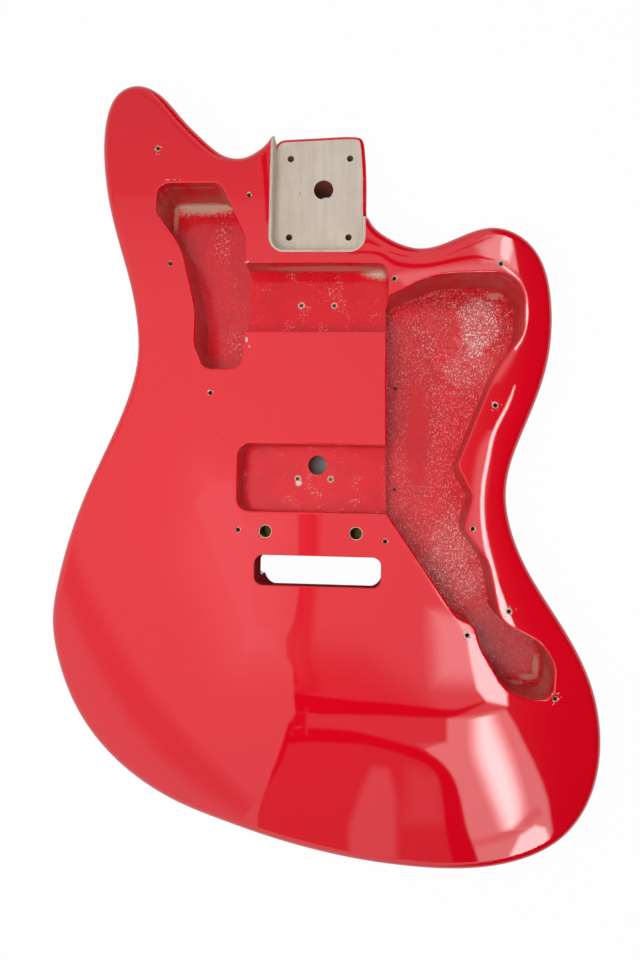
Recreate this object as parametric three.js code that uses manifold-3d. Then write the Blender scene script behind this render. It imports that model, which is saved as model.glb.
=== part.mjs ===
// Solid electric guitar body with an offset outline, bare of all hardware.
// It lies on its back: +X is the treble side, +Y runs to the neck and +Z leaves the front face.
// The origin is the middle of the body's box, on the plane of the flat back. Lengths are millimetres.

import * as THREE from 'three';
import { mergeVertices } from 'three/addons/utils/BufferGeometryUtils.js';
import Module from 'manifold-3d';

const wasm = await Module();
wasm.setup();

// Overall size, over the lacquer
const BODY_LENGTH = 484.3;
const BODY_WIDTH = 344;
const BODY_THICKNESS = 44.5;

// Datum lines: the string line and the line of the bridge studs, from the middle of the box
const CENTRELINE_X = -5.6;
const STUD_LINE_Y = -39.9;

// Lacquer film, and the room that its curved inner side leaves over the wood
const LACQUER_THICKNESS = 0.5;
const LACQUER_CLEARANCE = 0.3;

// Rounded edges, finer round the neck heel
const EDGE_RADIUS = 6;
const HEEL_EDGE_RADIUS = 2.5;

// Glue joints between the three boards, from the string line
const BASS_JOINT_OFFSET = 55;
const TREBLE_JOINT_OFFSET = 62;

// Contours for the player's forearm, at the front, and ribs, at the back
const FOREARM_DEPTH = 10;
const FOREARM_REACH = 62;
const BELLY_DEPTH = 14;
const BELLY_REACH = 70;

// Neck pocket: it is open at the neck end, and on the treble side past the end of the short wall
const POCKET_WIDTH = 56.6;
const POCKET_DEPTH = 15.9;
const POCKET_CORNER_RADIUS = 8;
const POCKET_FROM_STUDS = 175.5;
const TREBLE_WALL_LENGTH = 21;
const NECK_BOLT_SPACING_ACROSS = 38.1;
const NECK_BOLT_SPACING_ALONG = 50.8;
const NECK_BOLT_FROM_POCKET_END = 12.4;
const NECK_BOLT_HOLE_DIAMETER = 4.2;
const HEEL_HOLE_DIAMETER = 12.5;
const HEEL_HOLE_OFF_CENTRE = 2.5;
const HEEL_HOLE_FROM_POCKET_END = 43;

// Cavity in the bass horn
const HORN_CAVITY_LENGTH = 116.7;
const HORN_CAVITY_WIDTH = 57;
const HORN_CAVITY_DEPTH = 38.1;
const HORN_CAVITY_FROM_CENTRELINE = 44.5;
const HORN_CAVITY_FROM_STUDS = 100.5;

// Cavity for the controls
const CONTROL_CAVITY_LENGTH = 260;
const CONTROL_CAVITY_WIDTH = 105;
const CONTROL_CAVITY_DEPTH = 38.1;
const CONTROL_CAVITY_FROM_CENTRELINE = 43.8;
const CONTROL_CAVITY_BELOW_STUDS = 98.5;

// Pickup cavities, each measured along the strings; both run into the control cavity
const NECK_PICKUP_LENGTH = 42.5;
const NECK_PICKUP_DEPTH = 22;
const NECK_PICKUP_FROM_STUDS = 124.2;
const NECK_PICKUP_TREBLE_REACH = 44.8;
const NECK_PICKUP_CORNER_RADIUS = 7;
const BRIDGE_PICKUP_LENGTH = 41.9;
const BRIDGE_PICKUP_DEPTH = 22;
const BRIDGE_PICKUP_FROM_STUDS = 12.4;
const BRIDGE_PICKUP_BASS_REACH = 46.1;
const BRIDGE_PICKUP_CORNER_RADIUS = 8;
const CAVITY_MEETING = 5;
const PICKUP_SCREW_SPACING = 21.2;
const WIRE_HOLE_DIAMETER = 12.2;
const WIRE_HOLE_OFF_CENTRE = 2;
const WIRE_HOLE_FROM_STUDS = 42.3;

// Bridge stud holes and the slot for the tremolo block, behind the studs
const STUD_SPACING = 56;
const STUD_HOLE_DIAMETER = 8.3;
const STUD_HOLE_DEPTH = 24;
const SLOT_WIDTH = 78.1;
const SLOT_LENGTH = 18.6;
const SLOT_CORNER_RADIUS = 5.5;
const SLOT_OFF_CENTRE = 4.75;
const SLOT_BEHIND_STUDS = 14.5;

// Spring cavity and block clearance, cut from the back
const SPRING_CAVITY_WIDTH = 70.4;
const SPRING_CAVITY_LENGTH = 120;
const SPRING_CAVITY_DEPTH = 16.5;
const SPRING_CAVITY_OFF_CENTRE = -3.2;
const SPRING_CAVITY_BEHIND_SLOT_EDGE = 15.3;
const SPRING_CAVITY_CORNER_RADIUS = 6;
const BLOCK_CLEARANCE_MARGIN = 1.7;
const BLOCK_CLEARANCE_BASS_INSET = 0.8;
const BLOCK_CLEARANCE_TREBLE_EXTRA = 0.9;
const BLOCK_CLEARANCE_CORNER_RADIUS = 9;
const CLAW_HOLE_SPACING = 22;
const CLAW_HOLE_DEPTH = 26;
const CLAW_HOLE_HEIGHT = 8;

// Pilot holes for wood screws
const PILOT_DIAMETER = 2.6;
const PILOT_DEPTH = 12;
const FLOOR_PILOT_DEPTH = 4;
const COVER_PILOT_MARGIN = 8;
const STRAP_PILOT_DIAMETER = 3.2;
const STRAP_PILOT_DEPTH = 26;

// Facets: smallest arc step, sides of round holes, overrun of every cut, and the merge distance
const ARC_STEP = Math.PI / 10;
const SMALL_HOLE_SIDES = 10;
const LARGE_HOLE_SIDES = 24;
const OVERRUN = 10;
const MERGE_DISTANCE = 1e-4;
const SAMPLES_PER_POINT = 2;
const ROUNDING_STEPS = 3;
const CONTOUR_STEPS = 4;

// Powers that shape a contour: its depth and reach along the edge, and its slope inwards
const CONTOUR_DEPTH_POWER = 1.5;
const CONTOUR_REACH_POWER = 0.6;
const CONTOUR_SLOPE_POWER = 2;

// Most of a side that the arc of one corner may take
const CORNER_REACH_SHARE = 0.48;

// The outline, anticlockwise from the bass corner of the heel, as shares of BODY_WIDTH and BODY_LENGTH
const OUTLINE_SHARES = [
  [-0.0995, 0.4319], [-0.1094, 0.4232], [-0.1277, 0.4126], [-0.1519, 0.4037], [-0.1773, 0.4031],
  [-0.2014, 0.4102], [-0.2331, 0.429], [-0.265, 0.4511], [-0.297, 0.4769], [-0.325, 0.4934],
  [-0.3579, 0.5], [-0.3894, 0.4917], [-0.4089, 0.4711], [-0.418, 0.435], [-0.4162, 0.3925],
  [-0.4052, 0.3428], [-0.3842, 0.289], [-0.3607, 0.2344], [-0.3462, 0.1819], [-0.3453, 0.1318],
  [-0.3656, 0.0761], [-0.3987, 0.0204], [-0.435, -0.0358], [-0.4676, -0.0976], [-0.4918, -0.1626],
  [-0.5, -0.2103], [-0.4889, -0.2602], [-0.4573, -0.3166], [-0.4071, -0.366], [-0.3399, -0.4064],
  [-0.2582, -0.4371], [-0.1679, -0.4576], [-0.069, -0.4756], [0.0474, -0.4909], [0.1639, -0.499],
  [0.2688, -0.4983], [0.3593, -0.4852], [0.4355, -0.4546], [0.4839, -0.4028], [0.5, -0.3383],
  [0.4871, -0.2736], [0.4503, -0.2143], [0.3988, -0.157], [0.3559, -0.1035], [0.3314, -0.045],
  [0.3354, 0.0038], [0.3618, 0.0577], [0.3889, 0.1102], [0.4037, 0.1612], [0.4037, 0.2183],
  [0.3873, 0.2658], [0.3525, 0.2972], [0.3006, 0.3106], [0.2477, 0.3013], [0.2042, 0.2885],
  [0.1655, 0.2844], [0.1268, 0.2924], [0.0967, 0.3052], [0.0777, 0.3201], [0.0718, 0.3391],
  [0.0709, 0.376], [0.0657, 0.4264], [0.0608, 0.4375], [0.0488, 0.4408], [-0.0163, 0.44],
  [-0.0747, 0.4383], [-0.0915, 0.4365],
];

// Stretches of the outline, as shares of its points in order
const HEEL_START_SHARE = 0.85;
const HEEL_BLEND_SHARE = 0.03;
const FOREARM_START_SHARE = 0.31;
const FOREARM_END_SHARE = 0.5;
const BELLY_START_SHARE = 0.215;
const BELLY_END_SHARE = 0.355;
const STRAP_HORN_SHARE = 0.194;

// Corners of the horn cavity: shares of its width, of its length, and each corner's radius over its width
const HORN_CAVITY_SHARES = [
  [0, 1, 0.14], [0, 0.844, 0.14], [0.298, 0.647, 0.7], [0.461, 0.313, 1.05], [0.46, 0.124, 0.21],
  [0.57, 0, 0.12], [1, 0, 0.16], [1, 0.715, 0.25], [0.702, 1, 0.12],
];

// Corners of the control cavity, in the same way
const CONTROL_CAVITY_SHARES = [
  [0, 0.938, 0.03], [0.024, 0.429, 0.02], [0.444, 0.187, 0.16], [0.539, 0.174, 0.08],
  [0.581, 0.121, 0.19], [0.72, 0.027, 0.24], [0.851, 0.004, 0.24], [0.99, 0.01, 0.07],
  [1, 0.088, 0.17], [0.919, 0.136, 0.2], [0.686, 0.184, 0.145], [0.612, 0.323, 0.28],
  [0.47, 0.396, 0.076],
  [0.522, 0.473, 0.067], [0.427, 0.544, 0.057], [0.64, 0.767, 0.57], [0.792, 0.856, 0.17],
  [0.797, 1, 0.19], [0.288, 0.996, 0.57],
];

// Pilot holes of the pickguard and control plates: shares of BODY_WIDTH and BODY_LENGTH
const GUARD_PILOT_SHARES = [
  [-0.3116, 0.412], [-0.1413, 0.3501], [-0.2831, 0.2613], [-0.2035, 0.0938], [-0.1471, -0.0813],
  [0.1174, -0.0914], [0.1247, 0.2419], [0.3122, 0.2611], [0.3064, 0.0823], [0.2706, -0.073],
  [0.336, -0.1746], [0.2642, -0.206], [0.4177, -0.2805],
];

// Drill marks in the floor of the control cavity: shares of its width and length
const CONTROL_FLOOR_MARK_SHARES = [[0.071, 0.743], [0.078, 0.486]];

const woodMaterial = new THREE.MeshStandardMaterial({ color: 0xcdbfaf, roughness: 0.8, metalness: 0 });
const lacquerMaterial = new THREE.MeshStandardMaterial({ color: 0xdb1a26, roughness: 0.12, metalness: 0 });

/** A closed solid from a geometry whose shared vertices get merged. */
function toSolid(geometry) {
  const plain = geometry.clone();
  plain.deleteAttribute('normal');
  plain.deleteAttribute('uv');
  const merged = mergeVertices(plain, MERGE_DISTANCE);
  const vertProperties = new Float32Array(merged.attributes.position.array);
  const triVerts = new Uint32Array(merged.index.array);
  return new wasm.Manifold(new wasm.Mesh({ numProp: 3, vertProperties, triVerts }));
}

/** A named mesh from a closed solid. */
function toMesh(solid, name, material) {
  const { vertProperties, triVerts, numProp } = solid.getMesh();
  const vertexCount = vertProperties.length / numProp;
  const positions = new Float32Array(vertexCount * 3);
  for (let vertex = 0; vertex < vertexCount; vertex += 1) {
    positions.set(vertProperties.subarray(vertex * numProp, vertex * numProp + 3), vertex * 3);
  }
  const geometry = new THREE.BufferGeometry();
  geometry.setAttribute('position', new THREE.BufferAttribute(positions, 3));
  geometry.setIndex(new THREE.BufferAttribute(new Uint32Array(triVerts), 1));
  geometry.computeVertexNormals();
  const mesh = new THREE.Mesh(geometry, material);
  mesh.name = name;
  return mesh;
}

/** All the given solids joined into one. */
function joined(solids) {
  return solids.reduce((whole, solid) => whole.add(solid));
}

/** A box between two corners, whose faces lie exactly at the coordinates given. */
function box(low, high) {
  const geometry = new THREE.BoxGeometry();
  const position = geometry.attributes.position;
  for (let vertex = 0; vertex < position.count; vertex += 1) {
    const corner = new THREE.Vector3().fromBufferAttribute(position, vertex);
    position.setXYZ(
      vertex, corner.x < 0 ? low.x : high.x, corner.y < 0 ? low.y : high.y, corner.z < 0 ? low.z : high.z,
    );
  }
  return toSolid(geometry);
}

/** Points of a closed outline, given as corners that arcs of their radius round off. */
function roundedOutline(corners) {
  const points = [];
  corners.forEach(({ at, radius }, index) => {
    if (radius === 0) {
      points.push(at.clone());
      return;
    }
    const back = new THREE.Vector2().subVectors(corners.at(index - 1).at, at);
    const ahead = new THREE.Vector2().subVectors(corners[(index + 1) % corners.length].at, at);
    const half = back.angleTo(ahead) / 2;
    const shortest = Math.min(back.length(), ahead.length());
    const reach = Math.min(radius / Math.tan(half), shortest * CORNER_REACH_SHARE);
    const start = at.clone().addScaledVector(back.normalize(), reach);
    const end = at.clone().addScaledVector(ahead.normalize(), reach);
    const middle = back.add(ahead).normalize();
    const centre = at.clone().addScaledVector(middle, reach / Math.cos(half));
    const spoke = start.clone().sub(centre);
    const sweep = (Math.PI - 2 * half) * Math.sign(spoke.cross(end.clone().sub(centre)));
    const steps = Math.max(1, Math.round(Math.abs(sweep) / ARC_STEP));
    for (let step = 0; step <= steps; step += 1) {
      points.push(start.clone().rotateAround(centre, (sweep * step) / steps));
    }
  });
  return points;
}

/** An upright prism over a closed outline, from one height to another. */
function prism(points, bottom, top) {
  const settings = { depth: top - bottom, bevelEnabled: false, steps: 1 };
  return toSolid(new THREE.ExtrudeGeometry(new THREE.Shape(points), settings).translate(0, 0, bottom));
}

/** Corners of a box outline, each with a radius: low x and y, high x and y, then the radii anticlockwise. */
function boxCorners(left, near, right, far, radii) {
  const places = [[left, near], [right, near], [right, far], [left, far]];
  return places.map(([x, y], index) => ({ at: new THREE.Vector2(x, y), radius: radii[index] }));
}

/** Corners from a table of shares, over a box of the given width and length. */
function sharedCorners(shares, left, near, width, length) {
  return shares.map(([across, along, radiusShare]) => ({
    at: new THREE.Vector2(left + across * width, near + along * length),
    radius: radiusShare * width,
  }));
}

/** A round upright hole's solid. */
function drill(x, y, diameter, bottom, top, sides) {
  const radius = diameter / 2;
  const rod = new THREE.CylinderGeometry(radius, radius, top - bottom, sides);
  return toSolid(rod.rotateX(Math.PI / 2).translate(x, y, (top + bottom) / 2));
}

/** A round level hole's solid, from a place towards a flat direction. */
function levelDrill(from, towards, height, diameter, depth) {
  const radius = diameter / 2;
  const rod = new THREE.CylinderGeometry(radius, radius, depth + OVERRUN, SMALL_HOLE_SIDES);
  const along = new THREE.Vector3(towards.x, towards.y, 0).normalize();
  rod.applyQuaternion(new THREE.Quaternion().setFromUnitVectors(new THREE.Vector3(0, 1, 0), along));
  const middle = new THREE.Vector3(from.x, from.y, height).addScaledVector(along, (depth - OVERRUN) / 2);
  return toSolid(rod.translate(middle.x, middle.y, middle.z));
}

/** How far a share of the outline is through a stretch, from 0 to 1, or null outside it. */
function throughStretch(share, start, end) {
  return share > start && share < end ? (share - start) / (end - start) : null;
}

/** The contour of one face at a share of the outline: its depth at the edge, and its reach inwards. */
function contourAt(share, start, end, depth, reach, radius) {
  const through = throughStretch(share, start, end);
  if (through === null) {
    return { depth: 0, reach: radius };
  }
  const swell = Math.sin(Math.PI * through);
  return {
    depth: depth * swell ** CONTOUR_DEPTH_POWER,
    reach: radius + (reach - radius) * swell ** CONTOUR_REACH_POWER,
  };
}

/** Samples of the outline, each with its place, inward direction, edge radius and contours. */
function sampleOutline() {
  const points = OUTLINE_SHARES.map(([across, along]) =>
    new THREE.Vector3(across * BODY_WIDTH, along * BODY_LENGTH, 0));
  const curve = new THREE.CatmullRomCurve3(points, true, 'centripetal');
  const count = points.length * SAMPLES_PER_POINT;
  return Array.from({ length: count }, (_, index) => {
    const share = index / count;
    const place = curve.getPoint(share);
    const heading = curve.getTangent(share);
    const intoHeel = THREE.MathUtils.smoothstep(share, HEEL_START_SHARE, HEEL_START_SHARE + HEEL_BLEND_SHARE);
    const outOfHeel = 1 - THREE.MathUtils.smoothstep(share, 0, HEEL_BLEND_SHARE);
    const heel = Math.max(intoHeel, outOfHeel);
    const radius = THREE.MathUtils.lerp(EDGE_RADIUS, HEEL_EDGE_RADIUS, heel);
    return {
      place: new THREE.Vector2(place.x, place.y),
      inward: new THREE.Vector2(-heading.y, heading.x),
      radius,
      front: contourAt(share, FOREARM_START_SHARE, FOREARM_END_SHARE, FOREARM_DEPTH, FOREARM_REACH, radius),
      back: contourAt(share, BELLY_START_SHARE, BELLY_END_SHARE, BELLY_DEPTH, BELLY_REACH, radius),
    };
  });
}

const samples = sampleOutline();

/** Depth of a contour at an inset from the outline: steep at the edge, and flat at its reach. */
function contourDepth({ depth, reach }, inset) {
  return depth * Math.max(0, 1 - inset / reach) ** CONTOUR_SLOPE_POWER;
}

/** The body's closed outer form, drawn in by a skin all round and by a gap where it is curved. */
function bodyForm(skin, gap) {
  const positions = [];
  const indices = [];

  const addVertex = (sample, face, inset, rise) => {
    const { x, y } = sample.place.clone().addScaledVector(sample.inward, inset);
    const sunk = contourDepth(sample[face], inset);
    const level = rise + sunk + Math.min(gap, sunk);
    positions.push(x, y, face === 'front' ? BODY_THICKNESS - level : level);
    return positions.length / 3 - 1;
  };
  const addRounding = (face, step) => samples.map((sample) => {
    const angle = (Math.PI / 2) * (step / ROUNDING_STEPS);
    const inset = sample.radius - (sample.radius - skin - gap) * Math.cos(angle);
    return addVertex(sample, face, inset, sample.radius - (sample.radius - skin) * Math.sin(angle));
  });
  const addQuad = (a, b, c, d) => {
    [[a, b, c], [a, c, d]].forEach((corners) => {
      if (new Set(corners).size === 3) {
        indices.push(...corners);
      }
    });
  };
  const stitch = (upper, lower) => upper.forEach((vertex, index) => {
    const next = (index + 1) % upper.length;
    addQuad(vertex, lower[index], lower[next], upper[next]);
  });

  const steps = Array.from({ length: ROUNDING_STEPS + 1 }, (_, step) => step);
  const frontRings = steps.map((step) => addRounding('front', step));
  const backRings = steps.map((step) => addRounding('back', step));
  const rings = [...frontRings.reverse(), ...backRings];
  rings.slice(1).forEach((ring, index) => stitch(rings[index], ring));

  const addFace = (face, edgeRing) => {
    let outer = edgeRing;
    for (let step = 1; step <= CONTOUR_STEPS; step += 1) {
      const inner = samples.map((sample, index) => {
        if (sample[face].depth === 0) {
          return edgeRing[index];
        }
        const inset = THREE.MathUtils.lerp(sample.radius, sample[face].reach, step / CONTOUR_STEPS);
        return addVertex(sample, face, inset, skin);
      });
      if (face === 'front') {
        stitch(inner, outer);
      } else {
        stitch(outer, inner);
      }
      outer = inner;
    }
    const contour = outer.map((vertex) => new THREE.Vector2(positions[vertex * 3], positions[vertex * 3 + 1]));
    THREE.ShapeUtils.triangulateShape(contour, []).forEach(([a, b, c]) => {
      const corners = face === 'front' ? [a, b, c] : [a, c, b];
      indices.push(...corners.map((corner) => outer[corner]));
    });
  };
  addFace('front', rings[0]);
  addFace('back', rings.at(-1));

  const geometry = new THREE.BufferGeometry();
  geometry.setAttribute('position', new THREE.BufferAttribute(new Float32Array(positions), 3));
  geometry.setIndex(indices);
  return toSolid(geometry);
}

/** A cavity cut from the front face down to a depth. */
function fromFront(corners, depth) {
  return prism(roundedOutline(corners), BODY_THICKNESS - depth, BODY_THICKNESS + OVERRUN);
}

/** The neck pocket with its bolt holes and the larger hole through the heel. */
function neckPocket() {
  const end = STUD_LINE_Y + POCKET_FROM_STUDS;
  const left = CENTRELINE_X - POCKET_WIDTH / 2;
  const right = CENTRELINE_X + POCKET_WIDTH / 2;
  const wallEnd = end + TREBLE_WALL_LENGTH;
  const beyond = BODY_LENGTH / 2 + OVERRUN;
  const clear = right + POCKET_WIDTH / 2;
  const outline = [
    [left, end, POCKET_CORNER_RADIUS], [right, end, POCKET_CORNER_RADIUS], [right, wallEnd, 0],
    [clear, wallEnd, 0], [clear, beyond, 0], [left, beyond, 0],
  ].map(([x, y, radius]) => ({ at: new THREE.Vector2(x, y), radius }));
  const bolts = [-0.5, 0.5].flatMap((across) => [0, 1].map((along) => drill(
    CENTRELINE_X + across * NECK_BOLT_SPACING_ACROSS,
    end + NECK_BOLT_FROM_POCKET_END + along * NECK_BOLT_SPACING_ALONG,
    NECK_BOLT_HOLE_DIAMETER, -OVERRUN, BODY_THICKNESS, SMALL_HOLE_SIDES,
  )));
  const heelHole = drill(
    CENTRELINE_X + HEEL_HOLE_OFF_CENTRE, end + HEEL_HOLE_FROM_POCKET_END,
    HEEL_HOLE_DIAMETER, -OVERRUN, BODY_THICKNESS, LARGE_HOLE_SIDES,
  );
  return joined([fromFront(outline, POCKET_DEPTH), heelHole, ...bolts]);
}

/** Two screw pilots side by side in the floor of a pickup cavity. */
function pickupPilots(y, depth) {
  return [-0.5, 0.5].map((across) => drill(
    CENTRELINE_X + across * PICKUP_SCREW_SPACING, y, PILOT_DIAMETER,
    BODY_THICKNESS - depth - FLOOR_PILOT_DEPTH, BODY_THICKNESS, SMALL_HOLE_SIDES,
  ));
}

/** The four joined cavities under the pickguard, with the marks and holes in their floors. */
function guardCavities() {
  const hornRight = CENTRELINE_X - HORN_CAVITY_FROM_CENTRELINE;
  const hornNear = STUD_LINE_Y + HORN_CAVITY_FROM_STUDS;
  const horn = sharedCorners(
    HORN_CAVITY_SHARES, hornRight - HORN_CAVITY_WIDTH, hornNear, HORN_CAVITY_WIDTH, HORN_CAVITY_LENGTH,
  );
  const controlLeft = CENTRELINE_X + CONTROL_CAVITY_FROM_CENTRELINE;
  const controlNear = STUD_LINE_Y - CONTROL_CAVITY_BELOW_STUDS;
  const control = sharedCorners(
    CONTROL_CAVITY_SHARES, controlLeft, controlNear, CONTROL_CAVITY_WIDTH, CONTROL_CAVITY_LENGTH,
  );
  const neckNear = STUD_LINE_Y + NECK_PICKUP_FROM_STUDS;
  const neckPickup = boxCorners(
    hornRight - CAVITY_MEETING, neckNear, CENTRELINE_X + NECK_PICKUP_TREBLE_REACH,
    neckNear + NECK_PICKUP_LENGTH, [0, 0, NECK_PICKUP_CORNER_RADIUS, 0],
  );
  const bridgeNear = STUD_LINE_Y + BRIDGE_PICKUP_FROM_STUDS;
  const bridgePickup = boxCorners(
    CENTRELINE_X - BRIDGE_PICKUP_BASS_REACH, bridgeNear, controlLeft + CAVITY_MEETING,
    bridgeNear + BRIDGE_PICKUP_LENGTH, [BRIDGE_PICKUP_CORNER_RADIUS, 0, 0, BRIDGE_PICKUP_CORNER_RADIUS],
  );
  const wireHole = drill(
    CENTRELINE_X + WIRE_HOLE_OFF_CENTRE, STUD_LINE_Y + WIRE_HOLE_FROM_STUDS, WIRE_HOLE_DIAMETER,
    -OVERRUN, BODY_THICKNESS, LARGE_HOLE_SIDES,
  );
  const controlFloor = BODY_THICKNESS - CONTROL_CAVITY_DEPTH;
  const marks = CONTROL_FLOOR_MARK_SHARES.map(([across, along]) => drill(
    controlLeft + across * CONTROL_CAVITY_WIDTH, controlNear + along * CONTROL_CAVITY_LENGTH,
    PILOT_DIAMETER, controlFloor - FLOOR_PILOT_DEPTH, BODY_THICKNESS, SMALL_HOLE_SIDES,
  ));
  return joined([
    fromFront(horn, HORN_CAVITY_DEPTH),
    fromFront(control, CONTROL_CAVITY_DEPTH),
    fromFront(neckPickup, NECK_PICKUP_DEPTH),
    fromFront(bridgePickup, BRIDGE_PICKUP_DEPTH),
    wireHole,
    ...marks,
    ...pickupPilots(neckNear + NECK_PICKUP_LENGTH / 2, NECK_PICKUP_DEPTH),
    ...pickupPilots(bridgeNear + BRIDGE_PICKUP_LENGTH / 2, BRIDGE_PICKUP_DEPTH),
  ]);
}

/** Stud holes, the slot, and the cavities at the back for springs and block, which the slot runs into. */
function tremoloCuts() {
  const studs = [-0.5, 0.5].map((across) => drill(
    CENTRELINE_X + across * STUD_SPACING, STUD_LINE_Y, STUD_HOLE_DIAMETER,
    BODY_THICKNESS - STUD_HOLE_DEPTH, BODY_THICKNESS + OVERRUN, LARGE_HOLE_SIDES,
  ));
  const slotFar = STUD_LINE_Y - SLOT_BEHIND_STUDS;
  const slotNear = slotFar - SLOT_LENGTH;
  const slotMiddle = CENTRELINE_X + SLOT_OFF_CENTRE;
  const slotRadii = Array(4).fill(SLOT_CORNER_RADIUS);
  const slot = boxCorners(
    slotMiddle - SLOT_WIDTH / 2, slotNear, slotMiddle + SLOT_WIDTH / 2, slotFar, slotRadii,
  );
  const springMiddle = CENTRELINE_X + SPRING_CAVITY_OFF_CENTRE;
  const springNear = slotFar - SPRING_CAVITY_BEHIND_SLOT_EDGE;
  const springFar = springNear + SPRING_CAVITY_LENGTH;
  const springRadii = Array(4).fill(SPRING_CAVITY_CORNER_RADIUS);
  const springs = boxCorners(
    springMiddle - SPRING_CAVITY_WIDTH / 2, springNear, springMiddle + SPRING_CAVITY_WIDTH / 2, springFar,
    springRadii,
  );
  const block = boxCorners(
    slotMiddle - SLOT_WIDTH / 2 + BLOCK_CLEARANCE_BASS_INSET, slotNear - BLOCK_CLEARANCE_MARGIN,
    slotMiddle + SLOT_WIDTH / 2 + BLOCK_CLEARANCE_TREBLE_EXTRA, slotFar + BLOCK_CLEARANCE_MARGIN,
    Array(4).fill(BLOCK_CLEARANCE_CORNER_RADIUS),
  );
  const claws = [-0.5, 0.5].map((across) => levelDrill(
    new THREE.Vector2(springMiddle + across * CLAW_HOLE_SPACING, springFar),
    new THREE.Vector2(0, 1), CLAW_HOLE_HEIGHT, STRAP_PILOT_DIAMETER, CLAW_HOLE_DEPTH,
  ));
  return joined([
    ...studs,
    prism(roundedOutline(slot), SPRING_CAVITY_DEPTH, BODY_THICKNESS + OVERRUN),
    prism(roundedOutline(springs), -OVERRUN, SPRING_CAVITY_DEPTH),
    prism(roundedOutline(block), -OVERRUN, SPRING_CAVITY_DEPTH),
    ...claws,
  ]);
}

/** Pilot holes: the guard's at the front, the spring cover's at the back, and the strap buttons'. */
function screwPilots() {
  const guard = GUARD_PILOT_SHARES.map(([across, along]) => drill(
    across * BODY_WIDTH, along * BODY_LENGTH, PILOT_DIAMETER,
    BODY_THICKNESS - PILOT_DEPTH, BODY_THICKNESS + OVERRUN, SMALL_HOLE_SIDES,
  ));
  const middle = CENTRELINE_X + SPRING_CAVITY_OFF_CENTRE;
  const across = SPRING_CAVITY_WIDTH / 2 + COVER_PILOT_MARGIN;
  const slotFar = STUD_LINE_Y - SLOT_BEHIND_STUDS;
  const coverNear = slotFar - SLOT_LENGTH - BLOCK_CLEARANCE_MARGIN - COVER_PILOT_MARGIN;
  const coverFar = slotFar - SPRING_CAVITY_BEHIND_SLOT_EDGE + SPRING_CAVITY_LENGTH;
  const rows = [coverNear, (coverNear + coverFar) / 2, coverFar];
  const cover = rows.flatMap((y) => [middle - across, middle + across].map((x) => drill(
    x, y, PILOT_DIAMETER, -OVERRUN, PILOT_DEPTH, SMALL_HOLE_SIDES,
  )));
  const hornSample = samples[Math.round(STRAP_HORN_SHARE * samples.length)];
  const tail = samples.reduce((best, sample) => (
    sample.place.y < 0 && Math.abs(sample.place.x - CENTRELINE_X) < Math.abs(best.place.x - CENTRELINE_X)
      ? sample : best
  ));
  const straps = [hornSample, tail].map(({ place, inward }) => levelDrill(
    place, inward, BODY_THICKNESS / 2, STRAP_PILOT_DIAMETER, STRAP_PILOT_DEPTH,
  ));
  return joined([...guard, ...cover, ...straps]);
}

/** The three boards of the body, cut apart at the glue joints, where their faces touch. */
function boards(cuts) {
  const wood = bodyForm(LACQUER_THICKNESS, LACQUER_CLEARANCE).subtract(cuts);
  const bassSide = box(
    new THREE.Vector3(-BODY_WIDTH, -BODY_LENGTH, -OVERRUN),
    new THREE.Vector3(CENTRELINE_X - BASS_JOINT_OFFSET, BODY_LENGTH, BODY_THICKNESS + OVERRUN),
  );
  const trebleSide = box(
    new THREE.Vector3(CENTRELINE_X + TREBLE_JOINT_OFFSET, -BODY_LENGTH, -OVERRUN),
    new THREE.Vector3(BODY_WIDTH, BODY_LENGTH, BODY_THICKNESS + OVERRUN),
  );
  return [
    toMesh(wood.intersect(bassSide), 'bass_side_board', woodMaterial),
    toMesh(wood.subtract(bassSide).subtract(trebleSide), 'centre_board', woodMaterial),
    toMesh(wood.intersect(trebleSide), 'treble_side_board', woodMaterial),
  ];
}

/** The lacquer film, parted where the flat back ends: the front with the edges, and the back. */
function lacquer(cuts) {
  const film = bodyForm(0, 0).subtract(bodyForm(LACQUER_THICKNESS, 0)).subtract(cuts);
  const low = new THREE.Vector3(-BODY_WIDTH, -BODY_LENGTH, -OVERRUN);
  const backSlab = box(low, new THREE.Vector3(BODY_WIDTH, BODY_LENGTH, LACQUER_THICKNESS));
  return [
    toMesh(film.subtract(backSlab), 'front_and_edge_lacquer', lacquerMaterial),
    toMesh(film.intersect(backSlab), 'back_lacquer', lacquerMaterial),
  ];
}

const cuts = joined([neckPocket(), guardCavities(), tremoloCuts(), screwPilots()]);
const guitarBody = new THREE.Group();
guitarBody.name = 'electric_guitar_body';
guitarBody.add(...boards(cuts), ...lacquer(cuts));

export default guitarBody;
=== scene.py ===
import logging
import math
from dataclasses import dataclass, field
from enum import Enum
from typing import Callable, Iterable, Sequence

import bpy
import numpy as np
from mathutils import Euler, Matrix, Vector
from mathutils.geometry import delaunay_2d_cdt
from mathutils.kdtree import KDTree


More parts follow.
